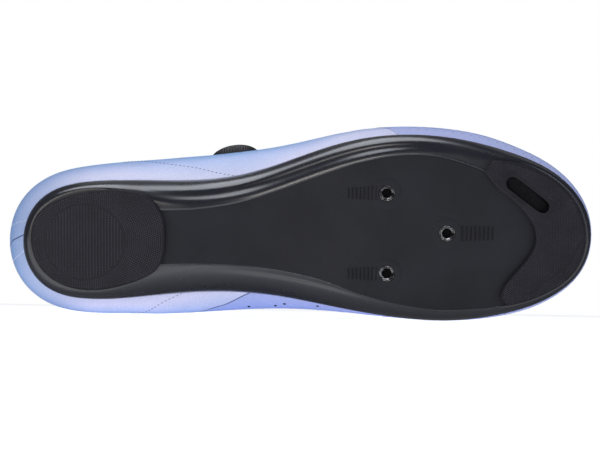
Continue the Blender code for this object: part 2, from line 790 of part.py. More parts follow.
def build_upper(stations, root, mat):
    """Hollow upper and the eyestay cut from the same outer grid; returns that grid."""
    outer = np.array([upper_section(station) for station in stations])
    normal = surface_normals(outer, stations)
    rows = outer.shape[1]
    wall = upper_thickness(stations, rows)[:, :, None]
    inner = outer - normal * wall
    inner[:, 0, 2] = outer[:, 0, 2]
    every = [list(range(len(stations)))]
    mesh = shell("upper", outer, inner, every, stations, 0, rows - 1, whole_loop=True)
    new_object("upper", mesh, mat, root)
    low = outer + normal * GAP
    high = outer + normal * (GAP + OVERLAY_THICK)
    stay = side_strips(*EYESTAY_SPAN, stations)
    mesh = shell("eyestay", high, low, stay, stations, rows - EYESTAY_ROWS, rows - 1)
    new_object("eyestay", mesh, mat, root)
    return outer, normal, wall


def tongue_lines(outer, normal, wall, stations):
    """Rows of points across the tongue's outer face, under the throat and then free."""
    count = len(stations)
    top = outer.shape[1] - 1
    under = outer - normal * (wall + TONGUE_GAP)
    low, high = TONGUE_SPAN
    picked = [k for k in range(1, SIDE_STATIONS) if low <= stations[k].along <= high]
    picked.reverse()
    lines = []
    for number, k in enumerate(picked):
        tuck = 1 - TONGUE_TUCK * number / (len(picked) - 1)
        sides = []
        for station in (k, count - k):
            edge = under[station, top]
            sides.append([edge + (under[station, top - j] - edge) * tuck for j in (2, 1, 0)])
        crown = TONGUE_CROWN
        if stations[k].is_closed():
            crown = 0.0
            for side in sides:
                side[2] = side[2] * TONGUE_CREST + side[1] * (1 - TONGUE_CREST)
        left, right = sides
        centre = (left[2] + right[2]) / 2 + np.array([0.0, 0.0, crown])
        lines.append(left + [centre] + right[::-1])
    edge = lines[-1][2]
    foot = lines[-1][3]
    half = abs(edge[1] - CREST_SHIFT) - TONGUE_GAP
    direction = np.array([-math.cos(TONGUE_SLOPE), 0.0, math.sin(TONGUE_SLOPE)])
    for share, flare in TONGUE_FLARE:
        centre = foot + direction * TONGUE_RISE * share
        row = []
        for c in np.linspace(-1, 1, TONGUE_COLUMNS):
            row.append(centre + np.array([0.0, c * half * flare, -2 * TONGUE_CROWN * c * c]))
        lines.append(row)
    return np.array(lines)


def build_tongue(outer, normal, wall, stations, root, mat):
    """Padded tongue under the throat, from ahead of it to above the collar."""
    lines = tongue_lines(outer, normal, wall, stations)
    along = np.gradient(lines, axis=0)
    across = np.gradient(lines, axis=1)
    facing = np.cross(across, along)
    facing /= np.linalg.norm(facing, axis=2, keepdims=True)
    if facing[:, :, 2].sum() > 0:
        facing = -facing
    inner = lines + facing * TONGUE_THICK
    bm = bmesh.new()
    grid = [list(a) + list(b[::-1]) for a, b in zip(lines, inner)]
    verts = grid_faces(bm, grid, False, True)
    for end in (verts[0], verts[-1]):
        for j in range(TONGUE_COLUMNS - 1):
            cap(bm, (end[j], end[j + 1], end[-2 - j], end[-1 - j]))
    return new_object("tongue", finish_mesh("tongue", bm), mat, root)


def tree_of(objects):
    """Search tree over the outer surfaces of some objects."""
    verts = []
    polygons = []
    for obj in objects:
        start = len(verts)
        verts += [vert.co.copy() for vert in obj.data.vertices]
        polygons += [[start + v for v in polygon.vertices] for polygon in obj.data.polygons]
    return BVHTree.FromPolygons(verts, polygons)


# Rings under a round foot, as shares of its radius
SEAT_SHARES = (1.0, 0.75, 0.5, 0.25)
GUIDE_SHARES = (1.0, 0.5)


def frame_at(place, axis):
    """Matrix whose Z runs along an axis and whose X points to the toe as far as it can."""
    z = Vector(axis).normalized()
    x = (Vector((1, 0, 0)) - z * z.x).normalized()
    y = z.cross(x)
    matrix = Matrix((x, y, z)).transposed().to_4x4()
    matrix.translation = Vector(place)
    return matrix


def ring_on(matrix, radius, height, count):
    """Even points of a circle about a matrix's Z axis."""
    return [matrix @ Vector(point) for point in ring_points(0, 0, radius, height, count)]


def seated_rings(tree, matrix, radius, count, seat, shares):
    """Rings of points just clear of the surface below them, widest ring last."""
    down = matrix.to_3x3() @ Vector((0, 0, -1))
    half_turn = math.pi / count
    half_ring = radius * (shares[0] - shares[1]) / 2

    def height(out, turn):
        start = matrix @ Vector((out * math.cos(turn), out * math.sin(turn), SEAT_REACH))
        distance = tree.ray_cast(start, down)[3]
        return SEAT_REACH - (distance or 2 * SEAT_REACH)

    rings = []
    for share in reversed(shares):
        ring = []
        for k in range(count):
            turn = 2 * math.pi * k / count
            out = radius * share
            near = max(height(out + a * half_ring, turn + b * half_turn)
                       for a in (-1, 0, 1) for b in (-1, 0, 1))
            ring.append(matrix @ Vector((out * math.cos(turn), out * math.sin(turn), near + seat)))
        rings.append(ring)
    return rings


def stacked(name, rings):
    """Closed body through a stack of rings."""
    bm = bmesh.new()
    verts = grid_faces(bm, rings, False, True)
    cap(bm, verts[0])
    cap(bm, verts[-1])
    return finish_mesh(name, bm)


def build_dial(tree, root, mat):
    """Dial base that follows the upper, and the ribbed knob on it."""
    start = Vector((DIAL_X, CREST_SHIFT, BELLY_HEIGHT))
    aim = Vector((0, -math.cos(DIAL_ELEVATION), math.sin(DIAL_ELEVATION)))
    outside = start + aim * BALL_WIDTH
    place, facing = tree.ray_cast(outside, -aim)[:2]
    if facing.dot(aim) < 0:
        facing = -facing
    matrix = frame_at(place, facing)
    top = DIAL_BASE_HEIGHT
    skirt = DIAL_RADIUS + DIAL_SKIRT
    rings = seated_rings(tree, matrix, skirt, DIAL_SEGMENTS, SOFT_GAP, SEAT_SHARES)
    rings.append(ring_on(matrix, skirt, top - SMALL_EDGE, DIAL_SEGMENTS))
    rings.append(ring_on(matrix, skirt - SMALL_EDGE, top, DIAL_SEGMENTS))
    new_object("dial_base", stacked("dial_base", rings), mat, root)
    rings = []
    for scale, rise, ribs in KNOB_ROWS:
        radius = DIAL_RADIUS * scale
        height = top + GAP + DIAL_KNOB_HEIGHT * rise
        ring = ring_on(matrix, radius, height, 2 * DIAL_RIBS)
        ring[1::2] = ring_on(matrix, radius - DIAL_RIB_DEPTH * ribs, height, 2 * DIAL_RIBS)[1::2]
        rings.append(ring)
    new_object("dial_knob", stacked("dial_knob", rings), mat, root)
    return matrix


def guide_frames(tree):
    """Places of the lace guides beside the throat, inner then outer side at each step."""
    frames = []
    for inner, outer in zip(INNER_GUIDES, OUTER_GUIDES):
        pair = []
        for side, along in ((1, inner), (-1, outer)):
            turn = turn_of(along) if side < 0 else 2 * math.pi - turn_of(along)
            edge = Station(turn).top()
            above = Vector((edge[0], edge[1] + side * GUIDE_INSET, edge[2] + GUIDE_INSET))
            hit, facing = tree.ray_cast(above, Vector((0, 0, -1)))[:2]
            if facing.z < 0:
                facing = -facing
            pair.append(frame_at(hit, facing))
        frames.append(pair)
    return frames


def build_guides(frames, tree, root, mat):
    """Spools on feet that follow the upper; the lace lies in their grooves."""
    low = GUIDE_FLANGE
    mid = low + GUIDE_GROOVE
    high = mid + GUIDE_FLANGE
    profile = [(GUIDE_RADIUS, low), (GUIDE_POST, low), (GUIDE_POST, mid), (GUIDE_RADIUS, mid),
               (GUIDE_RADIUS - SMALL_EDGE, high)]
    for step, pair in enumerate(frames, 1):
        for side, matrix in zip(("inner", "outer"), pair):
            rings = seated_rings(tree, matrix, GUIDE_RADIUS, GUIDE_SEGMENTS, SOFT_GAP, GUIDE_SHARES)
            rings += [ring_on(matrix, radius, height, GUIDE_SEGMENTS) for radius, height in profile]
            name = f"lace_guide_{side}_{step}"
            new_object(name, stacked(name, rings), mat, root)


def wrap_points(matrix, outward):
    """Half turn of the lace round a guide's post, on the side away from the throat."""
    radius = GUIDE_POST + LACE_RADIUS + GAP
    height = GUIDE_FLANGE + GUIDE_GROOVE / 2
    points = []
    for k in range(LACE_WRAP_STEPS + 1):
        turn = math.pi * (1 - k / LACE_WRAP_STEPS)
        spot = Vector((radius * math.cos(turn), outward * radius * math.sin(turn), height))
        points.append(matrix @ spot)
    return points


def taut_span(start, end, tree):
    """Points from start to end like a taut string over whatever lies below."""
    pieces = max(2, round((end - start).length / LACE_STEP))
    line = [start.lerp(end, k / pieces) for k in range(pieces + 1)]
    near = LACE_STEP / 2
    floor = []
    for point in line:
        height = -COLLAR_HEIGHT
        for a in (-near, 0, near):
            for b in (-near, 0, near):
                above = Vector((point.x + a, point.y + b, 2 * COLLAR_HEIGHT))
                hit = tree.ray_cast(above, Vector((0, 0, -1)))[0]
                if hit:
                    height = max(height, hit.z + LACE_RADIUS + GAP)
        floor.append(height)
    heights = [max(point.z, low) for point, low in zip(line, floor)]
    heights[0] = start.z
    heights[-1] = end.z
    for _ in range(LACE_SETTLE_STEPS):
        for k in range(1, pieces):
            heights[k] = max(floor[k], (heights[k - 1] + heights[k + 1]) / 2)
    return [Vector((point.x, point.y, height)) for point, height in zip(line, heights)][1:-1]


def build_lace(frames, dial, tree, root, mat):
    """Lace from the dial's base round each guide in turn, across and back."""
    reach = DIAL_RADIUS + DIAL_SKIRT + GAP
    leave = Vector((reach * math.cos(LACE_EXIT), reach * math.sin(LACE_EXIT), DIAL_BASE_HEIGHT / 2))
    route = [dial @ leave]
    for pair in frames:
        for matrix, outward in zip(pair, (1, -1)):
            wrap = wrap_points(matrix, outward)
            route += taut_span(route[-1], wrap[0], tree) + wrap
    curve = bpy.data.curves.new("lace", "CURVE")
    curve.dimensions = "3D"
    curve.bevel_depth = LACE_RADIUS
    curve.bevel_resolution = 1
    curve.use_fill_caps = True
    spline = curve.splines.new("POLY")
    spline.points.add(len(route) - 1)
    for target, point in zip(spline.points, route):
        target.co = (*point, 1.0)
    lace = bpy.data.objects.new("lace", curve)
    bpy.context.scene.collection.objects.link(lace)
    curve.materials.append(mat)
    lace.parent = root
    return lace


# Densities for the balance of the whole shoe, in kg per cubic metre
DENSITY = {"heel_pad": 1200, "toe_pad": 1200, "upper": 900, "eyestay": 900, "insole": 300, "tongue": 300}
OTHER_DENSITY = 1100


def centre_of_mass(objects):
    total = 0.0
    moment = Vector((0, 0, 0))
    for obj in objects:
        density = DENSITY.get(obj.name, OTHER_DENSITY)
        obj.data.calc_loop_triangles()
        for triangle in obj.data.loop_triangles:
            a, b, c = (obj.data.vertices[v].co for v in triangle.vertices)
            weight = density * a.dot(b.cross(c)) / 6
            total += weight
            moment += weight * (a + b + c) / 4
    return moment / total


def lay_on_inner_side(root, objects):
    """Turns the empty so that the hull's face under the centre of mass lies on the ground."""
    bm = bmesh.new()
    for obj in objects:
        for vert in obj.data.vertices:
            bm.verts.new(vert.co)
    bmesh.ops.convex_hull(bm, input=bm.verts)
    bm.normal_update()
    hull = BVHTree.FromBMesh(bm)
    centre = centre_of_mass(objects)
    down = hull.ray_cast(centre, Vector((0, 1, 0)))[1]
    if down.y < 0:
        down = -down
    z = -down.normalized()
    x = (Vector((1, 0, 0)) - z * z.x).normalized()
    y = z.cross(x)
    turn = Matrix((x, y, z))
    placed = [turn @ vert.co for vert in bm.verts]
    bm.free()
    low = Vector([min(p[i] for p in placed) for i in range(3)])
    high = Vector([max(p[i] for p in placed) for i in range(3)])
    matrix = turn.to_4x4()
    matrix.translation = Vector((-(low.x + high.x) / 2, -(low.y + high.y) / 2, -low.z))
    root.matrix_world = matrix


def main():
    for obj in list(bpy.data.objects):
        bpy.data.objects.remove(obj)
    root = bpy.data.objects.new("shoe", None)
    bpy.context.scene.collection.objects.link(root)
    gloss = material("gloss_sole", (0.035, 0.036, 0.042), 0.22, coat=0.6)
    rubber = material("rubber_tread", (0.045, 0.045, 0.05), 0.75)
    lilac = material("pearl_upper", (0.50, 0.56, 0.90), 0.38, coat=0.3)
    lining = material("lining", (0.05, 0.06, 0.10), 0.9)
    metal = material("insert_metal", (0.55, 0.56, 0.58), 0.35, metallic=1.0)
    plastic = material("dial_plastic", (0.02, 0.02, 0.023), 0.4)
    stations = all_stations()
    sole = build_sole(stations, root, gloss)
    build_inserts(sole, root, metal)
    build_heel_pad(root, rubber)
    build_toe_pad(sole, root, rubber, plastic)
    build_insole(stations, root, lining)
    outer, normal, wall = build_upper(stations, root, lilac)
    build_tongue(outer, normal, wall, stations, root, lining)
    named = bpy.data.objects
    tree = tree_of([named["upper"], named["eyestay"]])
    dial = build_dial(tree, root, plastic)
    frames = guide_frames(tree)
    build_guides(frames, tree, root, plastic)
    under_lace = tree_of([named["upper"], named["eyestay"], named["tongue"]])
    build_lace(frames, dial, under_lace, root, plastic)
    weighed = [obj for obj in root.children if obj.type == "MESH" and not obj.hide_render]
    lay_on_inner_side(root, weighed)


main()
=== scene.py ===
import json
import math

import bpy
import numpy as np
from mathutils import Matrix, Vector
from mathutils.bvhtree import BVHTree


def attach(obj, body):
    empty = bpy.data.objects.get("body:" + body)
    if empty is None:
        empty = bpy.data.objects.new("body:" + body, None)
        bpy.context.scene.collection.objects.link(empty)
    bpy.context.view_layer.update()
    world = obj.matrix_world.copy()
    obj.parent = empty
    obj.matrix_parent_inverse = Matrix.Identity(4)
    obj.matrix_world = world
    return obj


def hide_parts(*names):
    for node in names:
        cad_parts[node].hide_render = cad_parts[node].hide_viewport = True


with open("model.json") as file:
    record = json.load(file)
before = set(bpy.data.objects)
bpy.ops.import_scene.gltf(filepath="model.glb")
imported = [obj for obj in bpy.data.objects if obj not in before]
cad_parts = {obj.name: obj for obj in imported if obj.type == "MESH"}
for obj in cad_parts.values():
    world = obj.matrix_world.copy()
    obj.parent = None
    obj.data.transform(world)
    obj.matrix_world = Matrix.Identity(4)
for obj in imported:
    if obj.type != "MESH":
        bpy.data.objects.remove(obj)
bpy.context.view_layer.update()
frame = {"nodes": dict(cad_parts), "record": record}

MM = 0.001
MERGE = 0.001 * MM
BODY = "root"

# The shoe's own axes: x heel to toe, y to the inner side, z from the sole to the collar.
# All lengths below are millimetres on those axes unless a comment says otherwise.
# CLEAT_POINT is where the cleat mount lies on them, and CREST_SHIFT is the y of the upper's crest.
CLEAT_POINT = (197.0, 2.0, 3.5)
CREST_SHIFT = 2.5
# Starts of the search lines, clear of the shoe
BESIDE = 90.0
BEHIND = -60.0
BELOW = -30.0


def shoe_frame():
    """Matrix from the shoe's own axes, in metres, to the room, read from the cleat mount."""
    mount = next(m for m in frame["record"]["mounts"] if m["name"] == "cleat_face")
    up = -Vector(mount["axis"]).normalized()
    toe = Vector((up.z, 0, -up.x)).normalized()
    turn = Matrix((toe, up.cross(toe), up)).transposed()
    matrix = turn.to_4x4()
    matrix.translation = Vector(mount["pos_m"]) - turn @ (Vector(CLEAT_POINT) * MM)
    return matrix


SHOE = shoe_frame()
UP = SHOE.to_3x3() @ Vector((0, 0, 1))


def at(x, y, z):
    """Room point of a place on the shoe's own axes."""
    return SHOE @ (Vector((x, y, z)) * MM)


def own(points):
    """Room points as an array on the shoe's own axes, in millimetres."""
    inverse = np.array(SHOE.inverted())
    return (np.asarray(points) @ inverse[:3, :3].T + inverse[:3, 3]) / MM


def smoothstep(low, high, value):
    share = np.clip((np.asarray(value, float) - low) / (high - low), 0, 1)
    return share * share * (3 - 2 * share)


# Modelling helpers

# Sharpest edges that are still shaded smooth
ROUNDED_ANGLE = math.radians(38)
TURNED_ANGLE = math.radians(35)
COPIED_ANGLE = math.radians(50)
# Parts of a curve between two of its points, before its places are spaced evenly
CURVE_PARTS = 24


def select_only(piece):
    bpy.ops.object.select_all(action="DESELECT")
    piece.select_set(True)
    bpy.context.view_layer.objects.active = piece


def edit(piece):
    select_only(piece)
    bpy.ops.object.mode_set(mode="EDIT")
    bpy.ops.mesh.select_all(action="SELECT")


def done():
    bpy.ops.object.mode_set(mode="OBJECT")


def finish_with(piece, kind, **settings):
    """Adds one modifier and applies it."""
    select_only(piece)
    change = piece.modifiers.new(kind.lower(), kind)
    for key, value in settings.items():
        setattr(change, key, value)
    bpy.ops.object.modifier_apply(modifier=change.name)


def merged_copy(node, name):
    """Copy of a CAD node with its loose triangles joined and made quads."""
    piece = bpy.data.objects.new(name, frame["nodes"][node].data.copy())
    bpy.context.scene.collection.objects.link(piece)
    piece.data.materials.clear()
    select_only(piece)
    bpy.ops.mesh.customdata_custom_splitnormals_clear()
    edit(piece)
    bpy.ops.mesh.select_mode(type="EDGE")
    bpy.ops.mesh.select_all(action="SELECT")
    bpy.ops.mesh.remove_doubles(threshold=MERGE)
    bpy.ops.mesh.tris_convert_to_quads(face_threshold=math.pi / 2, shape_threshold=math.pi,
                                       topology_influence=1.0)
    done()
    return piece


def smooth_copy(node, name, levels, sharp=None, crease=0.8):
    """Finely rounded copy of a CAD node, creased where sharp and subdivided."""
    piece = merged_copy(node, name)
    if sharp:
        edit(piece)
        bpy.ops.mesh.select_all(action="DESELECT")
        bpy.ops.mesh.edges_select_sharp(sharpness=math.radians(sharp))
        bpy.ops.transform.edge_crease(value=crease)
        done()
    finish_with(piece, "SUBSURF", levels=levels, render_levels=levels)
    bpy.ops.object.shade_smooth_by_angle(angle=ROUNDED_ANGLE)
    return piece


def new_piece(name, points, faces):
    mesh = bpy.data.meshes.new(name)
    mesh.from_pydata([tuple(p) for p in points], [], [tuple(f) for f in faces])
    piece = bpy.data.objects.new(name, mesh)
    bpy.context.scene.collection.objects.link(piece)
    return piece


def turned(name, rows, count=48, closed=True):
    """Round piece about its own Z, a circle extruded and scaled through rows of radius, height."""
    radius, height = rows[0]
    bpy.ops.object.select_all(action="DESELECT")
    bpy.ops.mesh.primitive_circle_add(vertices=count, radius=radius * MM, location=(0, 0, height * MM),
                                      fill_type="NGON" if closed else "NOTHING")
    piece = bpy.context.active_object
    piece.name = name
    bpy.ops.object.transform_apply(location=True, rotation=True, scale=True)
    edit(piece)
    bpy.ops.mesh.select_mode(type="EDGE")
    bpy.ops.mesh.select_all(action="SELECT")
    for next_radius, next_height in rows[1:]:
        rise = (next_height - height) * MM
        bpy.ops.mesh.extrude_edges_move(TRANSFORM_OT_translate={"value": (0, 0, rise)})
        scale = next_radius / radius
        bpy.ops.transform.resize(value=(scale, scale, 1), center_override=(0, 0, 0))
        radius, height = next_radius, next_height
    if closed:
        bpy.ops.mesh.edge_face_add()
    bpy.ops.mesh.select_all(action="SELECT")
    bpy.ops.mesh.normals_make_consistent(inside=False)
    done()
    bpy.ops.object.shade_smooth_by_angle(angle=TURNED_ANGLE)
    return piece


def block(name, place, size, edge):
    """Small block with bevelled edges."""
    bpy.ops.object.select_all(action="DESELECT")
    bpy.ops.mesh.primitive_cube_add(size=1.0)
    piece = bpy.context.active_object
    piece.name = name
    scaled = Matrix.Diagonal((*(Vector(size) * MM), 1))
    piece.data.transform(Matrix.Translation(Vector(place) * MM) @ scaled)
    edit(piece)
    bpy.ops.mesh.bevel(offset=edge * MM, segments=2, affect="EDGES")
    done()
    return piece


def placed(piece, matrix):
    """Moves a piece's mesh, with its object still at the origin."""
    piece.data.transform(matrix)
    return piece


def copies(name, template, matrices):
    """One joined mesh of a template at each of many places; the template goes."""
    base = np.array([v.co for v in template.data.vertices])
    faces = [list(p.vertices) for p in template.data.polygons]
    points = []
    polygons = []
    for number, matrix in enumerate(matrices):
        turn = np.array(matrix)
        points.append(base @ turn[:3, :3].T + turn[:3, 3])
        polygons += [[number * len(base) + v for v in face] for face in faces]
    piece = new_piece(name, np.concatenate(points), polygons)
    bpy.data.objects.remove(template)
    select_only(piece)
    bpy.ops.object.shade_smooth_by_angle(angle=COPIED_ANGLE)
    return piece


def tree_of(*pieces):
    """Search tree over the surfaces of some pieces, in the room."""
    points = []
    polygons = []
    for piece in pieces:
        start = len(points)
        points += [v.co.copy() for v in piece.data.vertices]
        polygons += [[start + v for v in p.vertices] for p in piece.data.polygons]
    return BVHTree.FromPolygons(points, polygons)


def cast(tree, start, direction):
    """First hit from a place on the shoe's axes in a direction on the same axes."""
    aim = (SHOE.to_3x3() @ Vector(direction)).normalized()
    hit, facing = tree.ray_cast(at(*start), aim)[:2]
    if hit is None:
        return None
    if facing.dot(aim) > 0:
        facing = -facing
    return hit, facing


def frame_on(hit, facing, forward):
    """Matrix at a surface point: Z out of the surface, X as near to forward as it can be."""
    x = (forward - facing * forward.dot(facing)).normalized()
    y = facing.cross(x)
    matrix = Matrix((x, y, facing)).transposed().to_4x4()
    matrix.translation = hit
    return matrix


def curve_through(points, step):
    """Even places along a smooth curve through a few given points."""
    knots = np.asarray(points, float)
    ends = np.vstack([2 * knots[0] - knots[1], knots, 2 * knots[-1] - knots[-2]])
    fine = []
    for k in range(1, len(ends) - 2):
        a, b, c, d = ends[k - 1:k + 3]
        for t in np.linspace(0, 1, CURVE_PARTS, endpoint=False):
            fine.append(0.5 * (2 * b + (c - a) * t + (2 * a - 5 * b + 4 * c - d) * t * t
                               + (3 * b - a - 3 * c + d) * t ** 3))
    fine = np.array(fine + [knots[-1]])
    lengths = np.append(0, np.cumsum(np.linalg.norm(np.diff(fine, axis=0), axis=1)))
    count = max(2, int(round(lengths[-1] / step)) + 1)
    spots = np.linspace(0, lengths[-1], count)
    return np.column_stack([np.interp(spots, lengths, fine[:, i]) for i in range(fine.shape[1])])


# Materials

class Look:
    """A Principled material and the nodes that feed it."""

    def __init__(self, name, colour, roughness, **sockets):
        self.material = bpy.data.materials.new(name)
        self.material.use_nodes = True
        self.tree = self.material.node_tree
        self.shader = self.tree.nodes["Principled BSDF"]
        self.put(self.shader, "Base Color", (*colour, 1.0))
        self.put(self.shader, "Roughness", roughness)
        for socket, value in sockets.items():
            self.put(self.shader, socket.replace("_", " ").title().replace("Ior", "IOR"), value)

    def put(self, node, socket, value):
        target = node.inputs[socket]
        if isinstance(value, bpy.types.NodeSocket):
            self.tree.links.new(value, target)
        else:
            target.default_value = value

    def add(self, kind, inputs=(), **settings):
        node = self.tree.nodes.new("ShaderNode" + kind)
        for key, value in settings.items():
            setattr(node, key, value)
        for socket, value in dict(inputs).items():
            self.put(node, socket, value)
        return node

    def place(self):
        """The point on the shoe's own axes, in metres."""
        room = self.add("TexCoord").outputs["Object"]
        mapping = self.add("Mapping", {"Vector": room, "Location": SHOE.translation,
                                       "Rotation": SHOE.to_euler()}, vector_type="TEXTURE")
        return mapping.outputs[0]

    def maths(self, operation, first, second=0.0, third=0.0):
        node = self.add("Math", {0: first, 1: second, 2: third}, operation=operation)
        return node.outputs[0]

    def noise(self, vector, scale, detail=2.0, roughness=0.5):
        return self.add("TexNoise", {"Vector": vector, "Scale": scale, "Detail": detail,
                                     "Roughness": roughness}).outputs["Fac"]

    def span(self, value, low, high, first=0.0, last=1.0):
        return self.add("MapRange", {"Value": value, 1: low, 2: high, 3: first, 4: last}).outputs[0]

    def ramp(self, value, stops):
        node = self.add("ValToRGB", {"Fac": value})
        elements = node.color_ramp.elements
        while len(elements) < len(stops):
            elements.new(0.5)
        for element, (position, colour) in zip(elements, stops):
            element.position = position
            element.color = (*colour, 1.0)
        return node.outputs[0]

    def mix(self, share, first, second, blend="MIX"):
        node = self.add("Mix", data_type="RGBA", blend_type=blend)
        for socket, value in ((0, share), (6, first), (7, second)):
            if isinstance(value, tuple):
                value = (*value, 1.0)
            self.put(node, socket, value)
        return node.outputs[2]

    def attribute(self, name):
        return self.add("Attribute", attribute_name=name).outputs["Fac"]

    def bump(self, height, strength, distance):
        node = self.add("Bump", {"Height": height, "Strength": strength, "Distance": distance * MM})
        self.put(self.shader, "Normal", node.outputs[0])

    def colour(self, value):
        self.put(self.shader, "Base Color", value)

    def rough(self, value):
        self.put(self.shader, "Roughness", value)


# Colours of the upper
BLUSH = (0.63, 0.65, 0.86)
LILAC = (0.40, 0.50, 0.79)
SKY = (0.25, 0.45, 0.80)
STEEL_BLUE = (0.14, 0.27, 0.53)
PERIWINKLE = (0.26, 0.34, 0.76)
NAVY = (0.03, 0.06, 0.22)
CREAM = (0.72, 0.72, 0.80)

# Colour bands of the pearl skin, as shares of the way between two heights in metres. They are partly its
# own tones and partly painted sheen and shade: the darker sky blue round the belly stands in for the shine
# turning blue where the skin curves away
BAND_HEIGHTS = (0.014, 0.104)
PEARL_AND_SHEEN_BANDS = [(0.0, BLUSH), (0.12, BLUSH), (0.21, LILAC), (0.29, SKY), (0.35, SKY), (0.66, LILAC),
               (0.9, BLUSH), (1.0, LILAC)]
# How far the bands wander, and where the heel's steel blue starts and is full, in metres; that steel blue
# is partly the heel's own tint and partly painted shade and sheen where the skin curves away
BAND_DRIFT = 0.010
HEEL_TINT_AND_SHADE = (0.035, -0.008)


def pearl_look():
    """Pearl coated skin: blush by the sole, sky blue on the belly, paler above, with a fine sparkle. The
    sky blue belly and steel blue heel are partly painted sheen and shade, and the sparkle is painted into
    the colour.
    """
    look = Look("pearl_skin", LILAC, 0.45, coat_weight=0.06, coat_roughness=0.3, sheen_weight=0.05,
                sheen_roughness=0.35, specular_ior_level=0.28)
    look.put(look.shader, "Sheen Tint", (0.55, 0.7, 1.0, 1.0))
    place = look.place()
    axes = look.add("SeparateXYZ", {0: place})
    drift = look.maths("MULTIPLY_ADD", look.noise(place, 22.0), BAND_DRIFT, -BAND_DRIFT / 2)
    height = look.maths("ADD", axes.outputs[2], drift)
    share = look.span(height, *BAND_HEIGHTS)
    # Painted sheen and shade: the bands and the heel's steel blue make the skin darker and bluer where it
    # curves away.
    tone = look.ramp(share, PEARL_AND_SHEEN_BANDS)
    heel = look.span(axes.outputs[0], *HEEL_TINT_AND_SHADE)
    tone = look.mix(look.maths("MULTIPLY", heel, 0.78), tone, STEEL_BLUE)
    tone = look.mix(look.maths("MULTIPLY", look.attribute("vamp"), 0.5), tone, PERIWINKLE)
    tone = look.mix(look.maths("MULTIPLY", look.attribute("inner_panel"), 0.6), tone, PERIWINKLE)
    grain = look.noise(place, 2400.0, 1.0)
    sparkle = look.span(grain, 0.3, 0.75, 0.86, 1.16)
    flakes = look.add("CombineXYZ", {0: sparkle, 1: sparkle, 2: sparkle}).outputs[0]
    look.colour(look.mix(1.0, tone, flakes, "MULTIPLY"))
    look.rough(look.span(grain, 0.3, 0.7, 0.38, 0.54))
    pores = look.add("TexVoronoi", {"Vector": place, "Scale": 1100.0}).outputs["Distance"]
    relief = look.maths("ADD", look.maths("MULTIPLY", pores, 0.5), grain)
    look.bump(relief, 0.25, 0.05)
    return look.material


def gloss_look():
    """Moulded gloss side of the sole, with a faint ripple in its surface."""
    look = Look("sole_gloss", (0.014, 0.015, 0.022), 0.28, coat_weight=0.5, coat_roughness=0.18,
                specular_ior_level=0.6)
    place = look.place()
    cloud = look.noise(place, 90.0, 2.0)
    look.rough(look.span(cloud, 0.3, 0.7, 0.26, 0.31))
    look.bump(look.noise(place, 900.0, 1.0), 0.03, 0.03)
    return look.material


def matt_look(name, low, high):
    """Charcoal plastic, finely textured in the mould."""
    look = Look(name, low, 0.62, specular_ior_level=0.2)
    place = look.place()
    grain = look.noise(place, 1500.0, 2.0)
    look.colour(look.mix(look.span(look.noise(place, 35.0, 3.0), 0.35, 0.65), low, high))
    look.rough(look.span(grain, 0.3, 0.7, 0.55, 0.7))
    look.bump(grain, 0.3, 0.04)
    return look.material


def rubber_look():
    """Tread rubber, a little greyer in worn patches."""
    look = Look("tread_rubber", (0.015, 0.014, 0.017), 0.6, specular_ior_level=0.2)
    place = look.place()
    worn = look.noise(place, 90.0, 4.0)
    look.colour(look.mix(look.span(worn, 0.4, 0.7), (0.012, 0.0115, 0.016), (0.018, 0.017, 0.023)))
    look.rough(look.span(worn, 0.3, 0.7, 0.52, 0.68))
    look.bump(look.noise(place, 1300.0, 2.0), 0.25, 0.05)
    return look.material


def stud_look():
    """Tops of the tread, a little paler than the rubber between them: the one rubber painted paler on the
    raised tops, a painted highlight, with paler and darker patches.
    """
    # Painted highlight: a paler copy of the pads' rubber for the studs' tops.
    look = Look("tread_studs", (0.03, 0.028, 0.036), 0.55, specular_ior_level=0.35)
    place = look.place()
    worn = look.noise(place, 60.0, 4.0)
    look.colour(look.mix(look.span(worn, 0.35, 0.7), (0.028, 0.026, 0.036), (0.048, 0.045, 0.060)))
    look.rough(look.span(worn, 0.3, 0.7, 0.45, 0.62))
    look.bump(look.noise(place, 1300.0, 2.0), 0.2, 0.03)
    return look.material


def metal_look():
    """Turned steel of the threaded inserts; bright and dark patches in its colour are painted glints and
    painted dark reflections.
    """
    look = Look("insert_steel", (0.45, 0.45, 0.46), 0.34, metallic=1.0)
    place = look.place()
    scuffs_and_glints = look.noise(place, 420.0, 2.0)
    look.rough(look.span(scuffs_and_glints, 0.3, 0.7, 0.26, 0.44))
    # Painted glints and dark reflections: the steel's colour swings between bright and dark patches.
    look.colour(look.mix(look.span(scuffs_and_glints, 0.42, 0.6), (0.60, 0.60, 0.61), (0.10, 0.10, 0.11)))
    look.bump(scuffs_and_glints, 0.2, 0.05)
    return look.material


def plastic_look():
    """Black moulded plastic of the dial, guides and lace."""
    look = Look("black_plastic", (0.014, 0.014, 0.017), 0.36, specular_ior_level=0.5)
    place = look.place()
    grain = look.noise(place, 900.0, 2.0)
    look.rough(look.span(grain, 0.3, 0.7, 0.3, 0.46))
    look.bump(grain, 0.15, 0.04)
    return look.material


def dark_look():
    """Unlit black of holes and threads."""
    look = Look("hole_black", (0.003, 0.003, 0.004), 0.8, specular_ior_level=0.1)
    place = look.place()
    look.rough(look.span(look.noise(place, 500.0), 0.3, 0.7, 0.7, 0.9))
    return look.material


def knit_look(name, light, dark, scale):
    """Knitted spacer mesh: small round holes in rows, on the shoe's own axes."""
    look = Look(name, light, 0.9, sheen_weight=0.3, sheen_roughness=0.5, specular_ior_level=0.2)
    place = look.place()
    cells = look.add("TexVoronoi", {"Vector": place, "Scale": scale, "Randomness": 0.15})
    hole = look.span(cells.outputs["Distance"], 0.12, 0.34)
    look.colour(look.mix(hole, dark, light))
    look.bump(hole, 0.7, 0.25)
    return look.material


